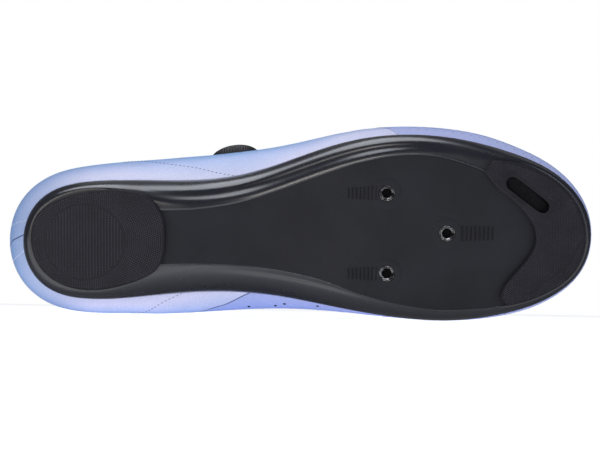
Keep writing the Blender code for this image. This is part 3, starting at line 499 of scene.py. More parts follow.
def thread_look(name, colour):
    """Twisted sewing thread."""
    look = Look(name, colour, 0.55, sheen_weight=0.2)
    place = look.place()
    twist = look.noise(place, 2200.0, 2.0)
    look.rough(look.span(twist, 0.3, 0.7, 0.45, 0.7))
    look.bump(twist, 0.3, 0.04)
    return look.material


PEARL = pearl_look()
GLOSS = gloss_look()
MATT = matt_look("sole_panel", (0.013, 0.0135, 0.018), (0.017, 0.0175, 0.023))
# Painted shade: a darker copy of the panel's plastic for the ruler bars.
RULER = matt_look("ruler_dark", (0.006, 0.006, 0.009), (0.008, 0.008, 0.011))
RUBBER = rubber_look()
STUDS = stud_look()
METAL = metal_look()
PLASTIC = plastic_look()
DARK = dark_look()
LINING = knit_look("collar_lining", (0.10, 0.12, 0.24), (0.03, 0.035, 0.08), 620.0)
TONGUE_CLOTH = knit_look("tongue_mesh", (0.28, 0.32, 0.60), (0.10, 0.12, 0.27), 520.0)
FOOTBED = knit_look("footbed_cloth", (0.035, 0.036, 0.045), (0.015, 0.015, 0.02), 800.0)
PALE_THREAD = thread_look("pale_thread", CREAM)
NAVY_THREAD = thread_look("navy_thread", NAVY)


def wear(piece, material):
    """Gives a piece its material and lets it ride on the shoe."""
    if not piece.data.materials:
        piece.data.materials.append(material)
    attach(piece, BODY)
    return piece


# Upper

# Middle of the foot's room, from heel to toe: x, z
FOOT_LINE = [(18.0, 52.0), (120.0, 46.0), (250.0, 33.0)]


def inside_point(points):
    """Middle of the foot's room at each point's x, on the shoe's own axes."""
    line_x, line_z = zip(*FOOT_LINE)
    x = np.clip(points[:, 0], line_x[0], line_x[-1])
    return np.column_stack([x, np.full(len(x), CREST_SHIFT), np.interp(x, line_x, line_z)])


# Seams and rows of stitches on the sides of the upper: x, z
VAMP_SEAM_OUTER = [(189, 17), (185, 24.5), (181, 30.5), (176, 39), (173, 49), (175, 58), (182, 66)]
VAMP_SEAM_INNER = [(186, 17), (184, 24), (181, 32), (177, 41), (175, 50), (177, 59), (183, 66)]
QUARTER_STITCH = [(107, 24), (87, 28.5), (73, 31), (58, 37), (44, 48), (34, 62), (30, 78)]
INNER_STITCH = [(79, 22.5), (68, 26.5), (58, 35), (47, 46), (39, 60), (35, 76)]
INNER_SEAM = [(116, 23.5), (103, 30), (93, 33.5), (80, 42), (70, 54), (65, 66), (64, 78)]
# Seams on the back of the heel: y, z
HEEL_PALE_OUTER = [(-6.6, 22), (-5, 28), (-3, 35), (-1.5, 50), (-2, 70), (-3, 90)]
HEEL_NAVY = [(0.2, 19.6), (1, 21.5), (4, 29.5), (7.2, 37), (8, 52), (6, 72), (3, 92)]
HEEL_PALE_INNER = [(9.2, 21.5), (12.5, 28), (15.5, 37), (16.5, 52), (14.5, 70), (11, 90)]

# Soft creases of the upper: side (-1 outer, 1 inner), x, z, lean in degrees, half length, half width, depth
CREASE_ROWS = [
    (-1, 168, 55, 75, 14, 3.2, 0.45),
    (-1, 178, 50, 80, 12, 2.8, 0.35),
    (1, 170, 54, 76, 14, 3.2, 0.45),
    (1, 181, 49, 82, 12, 2.8, 0.35),
    (-1, 96, 62, 20, 15, 4.0, 0.50),
    (1, 98, 60, 24, 15, 4.0, 0.50),
    (-1, 206, 47, 68, 9, 3.0, 0.25),
    (1, 208, 46, 70, 9, 3.0, 0.25),
    (-1, 40, 66, -30, 12, 5.0, 0.35),
    (1, 42, 64, -28, 12, 5.0, 0.35),
]
# Low banks beside each crease: their height as a share of its depth, and their place in half widths
BANK_SHARE = 0.45
BANK_PLACE = 1.9
# Half widths of the change of colour across a seam and across the crest
SEAM_BLUR = 0.6
CREST_BLUR = 1.0


def seam_side(points, seam):
    """How far ahead of a seam line each point lies, in millimetres."""
    line = curve_through(seam, 1.0)
    order = np.argsort(line[:, 1])
    return points[:, 0] - np.interp(points[:, 2], line[order, 1], line[order, 0])


def add_attribute(mesh, name, values):
    layer = mesh.attributes.new(name, "FLOAT", "POINT")
    layer.data.foreach_set("value", np.asarray(values, np.float32))


def mesh_points(mesh, kind="co"):
    """Every vertex's place, or its normal, as rows of an array."""
    flat = np.zeros(len(mesh.vertices) * 3)
    mesh.vertices.foreach_get(kind, flat)
    return flat.reshape(-1, 3)


def move_along_normals(piece, amount):
    points = mesh_points(piece.data) + mesh_points(piece.data, "normal") * amount[:, None] * MM
    piece.data.vertices.foreach_set("co", points.ravel())
    piece.data.update()


def crease_amount(points):
    """Soft troughs with low ridges beside them."""
    total = np.zeros(len(points))
    for side, x, z, lean, length, width, depth in CREASE_ROWS:
        turn = math.radians(lean)
        dx = points[:, 0] - x
        dz = points[:, 2] - z
        along = dx * math.cos(turn) + dz * math.sin(turn)
        across = (dz * math.cos(turn) - dx * math.sin(turn)) / width
        on_side = (points[:, 1] - CREST_SHIFT) * side > 0
        fade = np.exp(-(along / length) ** 2) * on_side
        banks = np.exp(-(across - BANK_PLACE) ** 2) + np.exp(-(across + BANK_PLACE) ** 2)
        total += depth * fade * (BANK_SHARE * banks - np.exp(-across ** 2))
    return total


def panel_attributes(piece):
    """Marks the panels that have a colour of their own, for the pearl skin's material."""
    points = own(mesh_points(piece.data))
    inner = smoothstep(-CREST_BLUR, CREST_BLUR, points[:, 1] - CREST_SHIFT)
    ahead_outer = smoothstep(-SEAM_BLUR, SEAM_BLUR, seam_side(points, VAMP_SEAM_OUTER))
    ahead_inner = smoothstep(-SEAM_BLUR, SEAM_BLUR, seam_side(points, VAMP_SEAM_INNER))
    add_attribute(piece.data, "vamp", ahead_outer * (1 - inner) + ahead_inner * inner)
    ahead = smoothstep(-SEAM_BLUR, SEAM_BLUR, seam_side(points, INNER_SEAM))
    panel = ahead * (1 - ahead_inner) * inner
    add_attribute(piece.data, "inner_panel", panel)


def build_upper():
    skin = smooth_copy("upper", "upper_skin", 3)
    points = own(mesh_points(skin.data))
    move_along_normals(skin, crease_amount(points))
    panel_attributes(skin)
    skin.data.materials.append(PEARL)
    skin.data.materials.append(LINING)
    centres = own([p.center for p in skin.data.polygons])
    facing = np.array([p.normal for p in skin.data.polygons]) @ np.array(SHOE.to_3x3())
    outward = np.einsum("ij,ij->i", facing, centres - inside_point(centres))
    skin.data.polygons.foreach_set("material_index", (outward < 0).astype(np.int32))
    wear(skin, PEARL)
    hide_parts("upper")
    return skin


def build_eyestay():
    stay = smooth_copy("eyestay", "eyestay_skin", 3, sharp=60, crease=0.6)
    panel_attributes(stay)
    wear(stay, PEARL)
    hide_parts("eyestay")
    return stay


# Stitches, seams and holes on the upper

STITCH_LENGTH = 1.3
STITCH_WIDTH = 0.4
STITCH_HEIGHT = 0.28
STITCH_STEP = 2.1
STITCH_LIFT = 0.02
SEAM_STEP = 1.0
PANEL_SEAM_WIDTH = 0.8
HEEL_SEAM_WIDTH = 0.9
SEAM_SUNK = 0.05
SEAM_PROUD = 0.07


def spots_on(tree, starts, direction):
    """Surface points and normals where search lines from some starts first hit."""
    found = [cast(tree, start, direction) for start in starts]
    return [spot for spot in found if spot]


def side_spots(tree, side, places):
    """Spots at places x, z on one side."""
    return spots_on(tree, [(x, side * BESIDE, z) for x, z in places], (0, -side, 0))


def heel_spots(tree, places):
    """Spots at places y, z on the back of the heel."""
    return spots_on(tree, [(BEHIND, y, z) for y, z in places], (1, 0, 0))


def spot_frames(spots, lift=0.0):
    """Frames along a line of spots, X along the line."""
    frames = []
    for k, (hit, facing) in enumerate(spots):
        ahead = spots[min(k + 1, len(spots) - 1)][0] - spots[max(k - 1, 0)][0]
        frames.append(frame_on(hit + facing * lift * MM, facing, ahead))
    return frames


def stitch_row(name, spots, thread):
    """A row of short raised stitches along the surface."""
    bpy.ops.object.select_all(action="DESELECT")
    bpy.ops.mesh.primitive_uv_sphere_add(segments=8, ring_count=6, radius=0.5 * MM)
    stitch = bpy.context.active_object
    edit(stitch)
    size = (STITCH_LENGTH, STITCH_WIDTH, STITCH_HEIGHT)
    bpy.ops.transform.resize(value=size, center_override=(0, 0, 0))
    done()
    return wear(copies(name, stitch, spot_frames(spots, STITCH_LIFT)), thread)


def seam_line(name, spots, width, material):
    """A narrow seam: a thin half-round strip pressed onto the surface."""
    frames = spot_frames(spots)
    section = [(-width / 2, -SEAM_SUNK), (-width / 4, SEAM_PROUD),
               (width / 4, SEAM_PROUD), (width / 2, -SEAM_SUNK)]
    wide = len(section)
    points = []
    faces = []
    for matrix in frames:
        points += [matrix @ (Vector((0, y, z)) * MM) for y, z in section]
    for k in range(len(frames) - 1):
        for j in range(wide - 1):
            a = wide * k + j
            faces.append((a, a + wide, a + wide + 1, a + 1))
    strip = new_piece(name, points, faces)
    select_only(strip)
    bpy.ops.object.shade_smooth()
    return wear(strip, material)


def pin_holes(name, spots, radius):
    """Small punched holes with a soft rim, each a disc of unlit black: painted shade."""
    hole = turned("hole_master", [(radius, -0.05), (radius * 0.85, 0.03)], 10)
    frames = [frame_on(hit, facing, UP) for hit, facing in spots]
    return wear(copies(name, hole, frames), DARK)


# Rows of pinholes on the toe box: z of the lowest row, x of its ends, and how far each next row moves
HOLE_RADIUS = 0.35
HOLE_STEP = 4.4
HOLE_ROWS = 6
LOWEST_HOLES = 25.0
HOLE_ENDS = (194.0, 264.0)
HOLE_END_STEPS = (1.2, -4.0)


def vamp_hole_spots(tree):
    """Staggered pinholes in rows on both sides of the toe box."""
    spots = []
    for side in (-1, 1):
        for row in range(HOLE_ROWS):
            z = LOWEST_HOLES + HOLE_STEP * row
            start = HOLE_ENDS[0] + HOLE_STEP / 2 * (row % 2) + HOLE_END_STEPS[0] * row
            stop = HOLE_ENDS[1] + HOLE_END_STEPS[1] * row
            spots += side_spots(tree, side, [(x, z) for x in np.arange(start, stop, HOLE_STEP)])
    return spots


# Vent holes on the inner side: x, z
VENT_HOLES = [(113, 33), (126.5, 31.6), (131, 29.2), (147.7, 26.5), (120, 40), (134, 38), (148, 36),
              (160, 33), (127, 47), (141, 45), (154, 42)]
VENT_HOLE_RADIUS = 0.9

# Stitches along the collar's edge: side, name, x from and to
COLLAR_ROWS = [(-1, "outer", 6.0, 84.0), (1, "inner", 6.0, 104.0)]
COLLAR_INSET = 5.5
EYESTAY_SPAN = (124.0, 196.0)
EYESTAY_INSET = 2.0
EDGE_PLACES = 16
EDGE_REACH = 1.5


def edge_route(piece, side, low, high, inset, top):
    """Places x, z on one side that keep a distance from a piece's upper or lower edge."""
    points = own(mesh_points(piece.data))
    points = points[(points[:, 1] - CREST_SHIFT) * side > 0]
    route = []
    for x in np.linspace(low, high, EDGE_PLACES):
        heights = points[np.abs(points[:, 0] - x) < EDGE_REACH][:, 2]
        route.append((x, heights.max() - inset if top else heights.min() + inset))
    return route


def dress_edges(skin, stay):
    """Stitching along the collar and along the eyestay's lower edge."""
    collar = tree_of(skin)
    overlay = tree_of(skin, stay)
    for side, name, low, high in COLLAR_ROWS:
        route = edge_route(skin, side, low, high, COLLAR_INSET, True)
        spots = side_spots(collar, side, curve_through(route, STITCH_STEP))
        stitch_row(f"collar_stitches_{name}", spots, NAVY_THREAD)
        route = edge_route(stay, side, *EYESTAY_SPAN, EYESTAY_INSET, False)
        spots = side_spots(overlay, side, curve_through(route, STITCH_STEP))
        stitch_row(f"eyestay_stitches_{name}", spots, NAVY_THREAD)


# Rows of stitches on the sides: name, side, route
SIDE_STITCHES = [
    ("quarter_stitches", -1, QUARTER_STITCH),
    ("inner_stitches", 1, INNER_STITCH),
    ("vamp_stitches_outer", -1, VAMP_SEAM_OUTER),
    ("vamp_stitches_inner", 1, VAMP_SEAM_INNER),
]


def dress_upper(skin):
    """Stitches, seams and holes of the upper."""
    tree = tree_of(skin)
    for name, side, route in SIDE_STITCHES:
        stitch_row(name, side_spots(tree, side, curve_through(route, STITCH_STEP)), NAVY_THREAD)
    panel_seam = side_spots(tree, 1, curve_through(INNER_SEAM, SEAM_STEP))
    seam_line("inner_panel_seam", panel_seam, PANEL_SEAM_WIDTH, NAVY_THREAD)
    for name, route in (("heel_stitches_outer", HEEL_PALE_OUTER), ("heel_stitches_inner", HEEL_PALE_INNER)):
        stitch_row(name, heel_spots(tree, curve_through(route, STITCH_STEP)), PALE_THREAD)
    heel_seam = heel_spots(tree, curve_through(HEEL_NAVY, SEAM_STEP))
    seam_line("heel_seam", heel_seam, HEEL_SEAM_WIDTH, NAVY_THREAD)
    pin_holes("vamp_pinholes", vamp_hole_spots(tree), HOLE_RADIUS)
    pin_holes("inner_vents", side_spots(tree, 1, VENT_HOLES), VENT_HOLE_RADIUS)


# Sole

# Edge of the flat panel under the sole: x, outer half width, inner half width
PANEL_ROWS = [
    (55, 13.0, 14.5), (71, 12.9, 14.1), (89, 13.5, 14.1), (109, 16.6, 15.1), (129, 23.0, 17.6),
    (149, 30.2, 22.0), (168, 36.5, 28.8), (188, 40.2, 34.0), (208, 39.6, 37.0), (228, 33.6, 36.5),
    (236, 29.0, 35.6), (262, 20.0, 30.0),
]
# Where the panel ends under the toe pad: y, x
PANEL_END = [(-32, 233), (-23, 240), (-17.5, 247), (-10, 254), (-3, 258), (3, 258.5), (9, 256),
             (16, 250.5), (24.5, 243.5), (33, 241)]
PANEL_GRID = (150, 40)
PANEL_PROUD = 0.25
PANEL_THICK = 0.9
PANEL_EDGE = 0.25
END_TRIES = 8
CUT_RADIUS = 4.05
CUT_REACH = 6.0
# y of a line along the plate that no hole touches
CLEAR_LINE = 8.0

# Bead beside the panel: how far out of its edge, how much of its radius stands back, first and last x
BEAD_RADIUS = 0.45
BEAD_OUT = 0.2
BEAD_BACK = 0.55
BEAD_START = 66.0
BEAD_ENDS = {"outer": 236.0, "inner": 244.0}
BEAD_STEP = 1.5

FRONT_INSERT = (212.0, -1.3)
INSERT_ALONG = 30.0
INSERT_ACROSS = 40.0
INSERT_PLACES = [FRONT_INSERT,
                 (FRONT_INSERT[0] - INSERT_ALONG, FRONT_INSERT[1] - INSERT_ACROSS / 2),
                 (FRONT_INSERT[0] - INSERT_ALONG, FRONT_INSERT[1] + INSERT_ACROSS / 2)]


def smooth_rows(rows, column):
    """Smooth function of x through one column of a table."""
    line = curve_through([(row[0], row[column]) for row in rows], 1.0)
    return lambda x: np.interp(x, line[:, 0], line[:, 1])


def underside(tree, x):
    """Height of the plate's underside, read on a line that no hole touches."""
    hit = cast(tree, (x, CLEAR_LINE, BELOW), (0, 0, 1))[0]
    return float(own([hit])[0][2])


def panel_height(tree, x):
    return underside(tree, x) - PANEL_PROUD


def build_wall():
    wall = smooth_copy("sole", "sole_wall", 2, sharp=50, crease=0.9)
    wear(wall, GLOSS)
    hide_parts("sole")
    return wall


def panel_end(share, outer, inner, ends):
    """The panel's last x at a share of its width, found by trying again a few times."""
    x = PANEL_ROWS[-1][0]
    for _ in range(END_TRIES):
        y = -outer(x) * (1 - share) + inner(x) * share
        x = np.interp(y, ends[:, 0], ends[:, 1])
    return x


def cut_for_inserts(panel, tree):
    for x, y in INSERT_PLACES:
        cutter = turned("insert_cut", [(CUT_RADIUS, -CUT_REACH), (CUT_RADIUS, CUT_REACH)], 48)
        placed(cutter, frame_on(at(x, y, panel_height(tree, x)), -UP, Vector((1, 0, 0))))
        finish_with(panel, "BOOLEAN", operation="DIFFERENCE", solver="EXACT", object=cutter)
        bpy.data.objects.remove(cutter)


def build_panel(tree):
    """Flat underside between the glossy walls, a thin plate with a soft edge, cut for the inserts."""
    outer = smooth_rows(PANEL_ROWS, 1)
    inner = smooth_rows(PANEL_ROWS, 2)
    ends = curve_through(PANEL_END, 0.5)
    bpy.ops.object.select_all(action="DESELECT")
    columns, rows = PANEL_GRID
    bpy.ops.mesh.primitive_grid_add(x_subdivisions=columns, y_subdivisions=rows, size=1.0)
    panel = bpy.context.active_object
    panel.name = "sole_panel"
    start = PANEL_ROWS[0][0]
    heights = {}
    for vert in panel.data.vertices:
        u = vert.co.x + 0.5
        v = vert.co.y + 0.5
        x = start + (panel_end(v, outer, inner, ends) - start) * u
        y = -outer(x) * (1 - v) + inner(x) * v
        near = round(x, 1)
        if near not in heights:
            heights[near] = panel_height(tree, near)
        vert.co = at(x, y, heights[near])
    panel.data.update()
    edit(panel)
    bpy.ops.mesh.normals_make_consistent(inside=False)
    done()
    if panel.data.polygons[0].normal.dot(UP) > 0:
        panel.data.flip_normals()
    finish_with(panel, "SOLIDIFY", thickness=PANEL_THICK * MM, offset=-1.0)
    finish_with(panel, "BEVEL", width=PANEL_EDGE * MM, segments=3, limit_method="ANGLE",
                angle_limit=math.radians(60))
    cut_for_inserts(panel, tree)
    select_only(panel)
    bpy.ops.object.shade_smooth_by_angle(angle=ROUNDED_ANGLE)
    return wear(panel, MATT)


def build_beads(tree):
    """Thin polished bead down each side of the panel."""
    for name, column, side in (("outer", 1, -1), ("inner", 2, 1)):
        edge = smooth_rows(PANEL_ROWS, column)
        curve = bpy.data.curves.new(f"panel_bead_{name}", "CURVE")
        curve.dimensions = "3D"
        curve.bevel_depth = BEAD_RADIUS * MM
        curve.bevel_resolution = 3
        curve.use_fill_caps = True
        spline = curve.splines.new("POLY")
        spots = np.arange(BEAD_START, BEAD_ENDS[name], BEAD_STEP)
        spline.points.add(len(spots) - 1)
        for target, x in zip(spline.points, spots):
            height = panel_height(tree, x) + BEAD_RADIUS * BEAD_BACK
            target.co = (*at(x, side * (float(edge(x)) + BEAD_OUT), height), 1.0)
        bead = bpy.data.objects.new(f"panel_bead_{name}", curve)
        bpy.context.scene.collection.objects.link(bead)
        select_only(bead)
        bpy.ops.object.convert(target="MESH")
        bead = bpy.context.active_object
        bpy.ops.object.shade_smooth()
        wear(bead, GLOSS)


# Ruler marks beside the inserts: first bar's x, step, y, bars, half length of first and last bar
RULER_ROWS = [
    (163.0, 1.95, -21.3, 8, 2.6, 3.6),
    (163.0, 1.95, 18.7, 8, 2.6, 3.6),
    (219.5, 2.15, -1.3, 8, 3.8, 3.4),
]
BAR_SIZE = (0.65, 2.0, 0.7)
BAR_EDGE = 0.12


def build_ruler(tree):
    """Low bars that help to line the cleat up."""
    bars = []
    for first, step, y, count, low, high in RULER_ROWS:
        for k in range(count):
            x = first + step * k
            matrix = frame_on(at(x, y, panel_height(tree, x)), -UP, Vector((1, 0, 0)))
            half = low + (high - low) * k / (count - 1)
            bars.append(matrix @ Matrix.Diagonal((1, half, 1, 1)))
    bar = block("bar_master", (0, 0, 0), BAR_SIZE, BAR_EDGE)
    return wear(copies("ruler_bars", bar, bars), RULER)


# Turned pieces of an insert: radius, height out of the plate's underside
BOSS_ROWS = [(4.1, 0.1), (4.1, 0.48), (4.6, 0.52), (5.6, 0.50), (6.6, 0.40), (7.6, 0.31), (8.0, 0.1)]
RING_ROWS = [(3.8, -3.0), (3.8, 0.42), (3.72, 0.5), (3.6, 0.5), (3.52, 0.4), (3.48, -0.15), (3.25, -0.2),
             (3.15, 0.05), (3.0, 0.05), (2.6, -0.4)]
BORE_SHADE_ROWS = [(2.6, -3.2), (2.6, -2.6)]
# Radii between which the ring's channel is unlit black: painted shade in its groove
CHANNEL = (3.18, 3.55)
THREAD_TURNS = 5
THREAD_PITCH = 0.5
THREAD_CREST = 2.48
THREAD_ROOT = 2.6
KEY_PLACE = (2.7, -0.5, 0.2)
KEY_SIZE = (1.5, 1.2, 1.1)
KEY_EDGE = 0.15


def thread_rows():
    """The bore's thread, as rows of a turned piece."""
    rows = []
    for turn in range(1, THREAD_TURNS + 1):
        crest = -THREAD_PITCH * turn
        rows += [(THREAD_CREST, crest), (THREAD_ROOT, crest - THREAD_PITCH / 2)]
    return rows


def build_inserts(tree):
    """Threaded steel inserts in low bosses, keyed on the toe side; the key's notch and the bore's depth are
    unlit black, painted shade.
    """
    for number, (x, y) in enumerate(INSERT_PLACES, 1):
        seat = frame_on(at(x, y, underside(tree, x)), -UP, Vector((1, 0, 0)))
        boss = turned(f"insert_boss_{number}", BOSS_ROWS, 56, closed=False)
        wear(placed(boss, seat), MATT)
        ring = turned(f"insert_ring_{number}", RING_ROWS + thread_rows(), 56, closed=False)
        ring.data.materials.append(METAL)
        ring.data.materials.append(DARK)
        # The channel's faces take the unlit black, painted shade.
        for face in ring.data.polygons:
            face.material_index = int(CHANNEL[0] < face.center.xy.length / MM < CHANNEL[1])
        wear(placed(ring, seat), METAL)
        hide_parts(f"cleat_insert_{number}")
        # The key's notch is a small block of unlit black: painted shade.
        key = block(f"insert_key_{number}", KEY_PLACE, KEY_SIZE, KEY_EDGE)
        wear(placed(key, seat), DARK)
        # A disc of unlit black deep in the bore: painted shade.
        core = turned(f"insert_bore_shade_{number}", BORE_SHADE_ROWS, 32)
        wear(placed(core, seat), DARK)


# Tread pads

# Studs: radius, height
HEEL_STUD = (0.34, 0.3)
TOE_STUD = (0.3, 0.25)
STUD_SIDES = 6
STUD_ROOT = -0.1
STUD_MARGIN = 1.1
STUD_STEP_LIMIT = 0.7
FLAT_ENOUGH = 0.9

# Oval of dots on the heel: middle x, y, half length, half width
HEEL_OVAL = (32.0, 2.5, 19.6, 18.4)
COLUMN_STEP = 1.5
DOT_STEP = 0.8
OVAL_FILL = 0.95
# Rings round it: how many, the first and the step between them as shares of the oval, studs' pitch
RINGS = 21
FIRST_RING = 1.07
RING_STEP = 0.052
RING_PITCH = 1.1

TOE_STEP = (0.82, 0.95)
TOE_SPAN_X = (228.0, 286.0)
TOE_SPAN_Y = (-42.0, 40.0)


def stud_spot(tree, x, y):
    """Place on a pad's face that has the face all round it."""
    found = cast(tree, (x, y, BELOW), (0, 0, 1))
    if not found or found[1].dot(UP) > -FLAT_ENOUGH:
        return None
    for dx, dy in ((STUD_MARGIN, 0), (-STUD_MARGIN, 0), (0, STUD_MARGIN), (0, -STUD_MARGIN)):
        near = cast(tree, (x + dx, y + dy, BELOW), (0, 0, 1))
        if not near or abs((near[0] - found[0]).dot(UP)) > STUD_STEP_LIMIT * MM:
            return None
    return found


def stud(radius, height):
    """Low six-sided stud with a narrower top."""
    rows = [(radius, STUD_ROOT), (radius, height * 0.4), (radius * 0.6, height)]
    return turned("stud_master", rows, STUD_SIDES)


def heel_studs(tree):
    """Rows of fine dots in an oval, and rings of hexagons round it."""
    x0, y0, rx, ry = HEEL_OVAL
    dots = []
    for x in np.arange(x0 - rx, x0 + rx, COLUMN_STEP):
        for y in np.arange(y0 - ry, y0 + ry, DOT_STEP):
            if ((x - x0) / rx) ** 2 + ((y - y0) / ry) ** 2 < OVAL_FILL:
                dots.append(stud_spot(tree, x, y))
    rings = []
    for ring in range(RINGS):
        grow = FIRST_RING + RING_STEP * ring
        around = int(2 * math.pi * grow * (rx + ry) / 2 / RING_PITCH)
        for k in range(around):
            turn = 2 * math.pi * (k + 0.5 * (ring % 2)) / around
            spot = stud_spot(tree, x0 + rx * grow * math.cos(turn), y0 + ry * grow * math.sin(turn))
            if spot:
                radial = SHOE.to_3x3() @ Vector((math.cos(turn), math.sin(turn), 0))
                rings.append(frame_on(*spot, radial))
    dots = [frame_on(*spot, Vector((1, 0, 0))) for spot in dots if spot]
    wear(copies("heel_tread_dots", stud(*HEEL_STUD), dots), STUDS)
    wear(copies("heel_tread_rings", stud(*HEEL_STUD), rings), STUDS)


# Vent slot: middle x, y, and its lean in degrees
VENT_PLACE = (252.0, -20.4)
VENT_ANGLE = 37.5
VENT_HALF_LENGTH = 13.0
VENT_HALF_WIDTH = 3.3
VENT_ROUND = 3.8
VENT_CLEAR = 2.0
# Smooth groove over the toe pad: x, y
TOE_GROOVE = [(251, 29), (255, 27.3), (263.5, 21.3), (272, 15), (277, 8), (280, 2.5), (284, -0.5)]
GROOVE_CLEAR = 0.8
# Wires of the vent, crossed in pairs: pairs on each side of the middle, their pitch and radius,
# how far they stand out of the grille, the least half width that they cross, and their spare length
WIRE_PAIRS = 15
WIRE_STEP = 0.85
WIRE_RADIUS = 0.13
WIRE_LIFT = 0.12
WIRE_LEAST = 0.5
WIRE_SPARE = 1.25


def vent_axes(x, y):
    """A point's place along and across the vent slot."""
    turn = math.radians(VENT_ANGLE)
    dx = x - VENT_PLACE[0]
    dy = y - VENT_PLACE[1]
    return dx * math.cos(turn) + dy * math.sin(turn), dy * math.cos(turn) - dx * math.sin(turn)


def toe_studs(tree):
    """Hexagon tread over the toe pad, clear of the vent and of one smooth groove."""
    groove = curve_through(TOE_GROOVE, 1.0)
    spots = []
    for row, x in enumerate(np.arange(*TOE_SPAN_X, TOE_STEP[0])):
        for column_y in np.arange(*TOE_SPAN_Y, TOE_STEP[1]):
            y = column_y + TOE_STEP[1] / 2 * (row % 2)
            along, across = vent_axes(x, y)
            if abs(along) < VENT_HALF_LENGTH + VENT_CLEAR and abs(across) < VENT_HALF_WIDTH + VENT_CLEAR:
                continue
            if np.min(np.hypot(groove[:, 0] - x, groove[:, 1] - y)) < GROOVE_CLEAR:
                continue
            spots.append(stud_spot(tree, x, y))
    frames = [frame_on(*spot, Vector((1, 0, 0))) for spot in spots if spot]
    wear(copies("toe_tread", stud(*TOE_STUD), frames), STUDS)


def build_pads():
    for node, name in (("heel_pad", "heel_pad_rubber"), ("toe_pad", "toe_pad_rubber")):
        pad = smooth_copy(node, name, 2, sharp=40, crease=0.75)
        wear(pad, RUBBER)
        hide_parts(node)
    heel_studs(tree_of(bpy.data.objects["heel_pad_rubber"]))
    toe_studs(tree_of(bpy.data.objects["toe_pad_rubber"]))


def vent_half_width(place):
    """Half width of the vent slot, which is round at both ends, at a place along it."""
    past_straight = max(0.0, abs(place) - (VENT_HALF_LENGTH - VENT_ROUND)) / VENT_ROUND
    return VENT_HALF_WIDTH * math.sqrt(max(0.0, 1 - past_straight ** 2))


def build_vent():
    """Crossed wires of the mesh behind the vent slot."""
    turn = math.radians(VENT_ANGLE)
    forward = SHOE.to_3x3() @ Vector((math.cos(turn), math.sin(turn), 0))
    grille = tree_of(frame["nodes"]["toe_vent"])
    base = frame_on(*cast(grille, (*VENT_PLACE, BELOW), (0, 0, 1)), forward)
    wires = []
    for k in range(-WIRE_PAIRS, WIRE_PAIRS + 1):
        place = WIRE_STEP * k
        reach = max(vent_half_width(place), WIRE_LEAST) * WIRE_SPARE
        for sign in (-1, 1):
            wires.append(base @ Matrix.Translation(Vector((place, 0, WIRE_LIFT)) * MM)
                         @ Matrix.Rotation(sign * math.radians(45), 4, "Z")
                         @ Matrix.Diagonal((reach, 1, 1, 1)))
    bpy.ops.object.select_all(action="DESELECT")
    bpy.ops.mesh.primitive_cylinder_add(vertices=6, radius=WIRE_RADIUS * MM, depth=2 * MM,
                                        rotation=(0, math.pi / 2, 0))
    wire = bpy.context.active_object
    bpy.ops.object.transform_apply(location=True, rotation=True, scale=True)
    wear(copies("vent_wires", wire, wires), RUBBER)


# Inside of the shoe

# Tongue: how much its end is trimmed, the length that gives the end's width, its clearance at the
# toe, and the grain of its mesh
TONGUE_TRIM = 3.4
TONGUE_END = 15.0
TONGUE_TOE_CLEAR = 5.0
TONGUE_GRAIN = 0.6
OUTLINE_HEIGHT = 200.0
# Channels along the tongue: distance from its middle, half width, depth
TONGUE_CHANNEL = (6.0, 0.9, 0.45)


def squared(part):
    """Swells a circle's sine or cosine, which makes the circle a rounded rectangle."""
    return math.copysign(math.sqrt(abs(part)), part)


def tongue_outline(tongue):
    """Tall prism with round corners, a little inside the tongue's end."""
    points = own(mesh_points(tongue.data))
    low = points[:, 0].min() + TONGUE_TRIM
    high = points[:, 0].max() + TONGUE_TOE_CLEAR
    end = points[points[:, 0] < low + TONGUE_END]
    middle = ((low + high) / 2, (end[:, 1].min() + end[:, 1].max()) / 2)
    half = ((high - low) / 2, (end[:, 1].max() - end[:, 1].min()) / 2)
    prism = turned("tongue_outline", [(1.0, 0.0), (1.0, OUTLINE_HEIGHT)], 96)
    for vert in prism.data.vertices:
        turn = math.atan2(vert.co.y, vert.co.x)
        x = middle[0] + half[0] * squared(math.cos(turn))
        y = middle[1] + half[1] * squared(math.sin(turn))
        vert.co = at(x, y, vert.co.z / MM)
    return prism


def build_tongue():
    """Padded tongue with soft lengthwise channels."""
    tongue = merged_copy("tongue", "tongue_cloth")
    outline = tongue_outline(tongue)
    finish_with(tongue, "BOOLEAN", operation="INTERSECT", solver="EXACT", object=outline)
    bpy.data.objects.remove(outline)
    finish_with(tongue, "REMESH", mode="VOXEL", voxel_size=TONGUE_GRAIN * MM)
    finish_with(tongue, "SMOOTH", factor=0.5, iterations=12)
    bpy.ops.object.shade_smooth()
    from_middle = np.abs(own(mesh_points(tongue.data))[:, 1] - CREST_SHIFT)
    place, width, depth = TONGUE_CHANNEL
    move_along_normals(tongue, -depth * np.exp(-((from_middle - place) / width) ** 2))
    wear(tongue, TONGUE_CLOTH)
    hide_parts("tongue")


def build_insole():
    insole = smooth_copy("insole", "insole_cloth", 2, sharp=60, crease=0.5)
    wear(insole, FOOTBED)
    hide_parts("insole")


# Dial, guides and lace

# Knob of the dial, turned: radius, height
KNOB_ROWS = [(11.4, 0.0), (12.6, 0.25), (13.0, 0.8), (13.0, 4.2), (12.7, 4.9), (12.1, 5.5), (11.2, 5.85),
             (9.6, 6.0), (8.9, 5.9), (8.6, 5.5), (3.6, 5.2), (3.2, 5.3), (2.6, 5.3)]
KNOB_HEIGHT = 6.0
# Ribs round the knob: how many, groove depth, least radius, heights between which they start and end
KNOB_RIBS = 60
RIB_DEPTH = 0.45
RIB_INSIDE = 10.5
RIB_FOOT = (0.3, 0.9)
RIB_HEAD = (4.4, 5.9)
# A point inside the foot's room, under the dial
INSTEP_MIDDLE = (120.0, 0.0, 40.0)


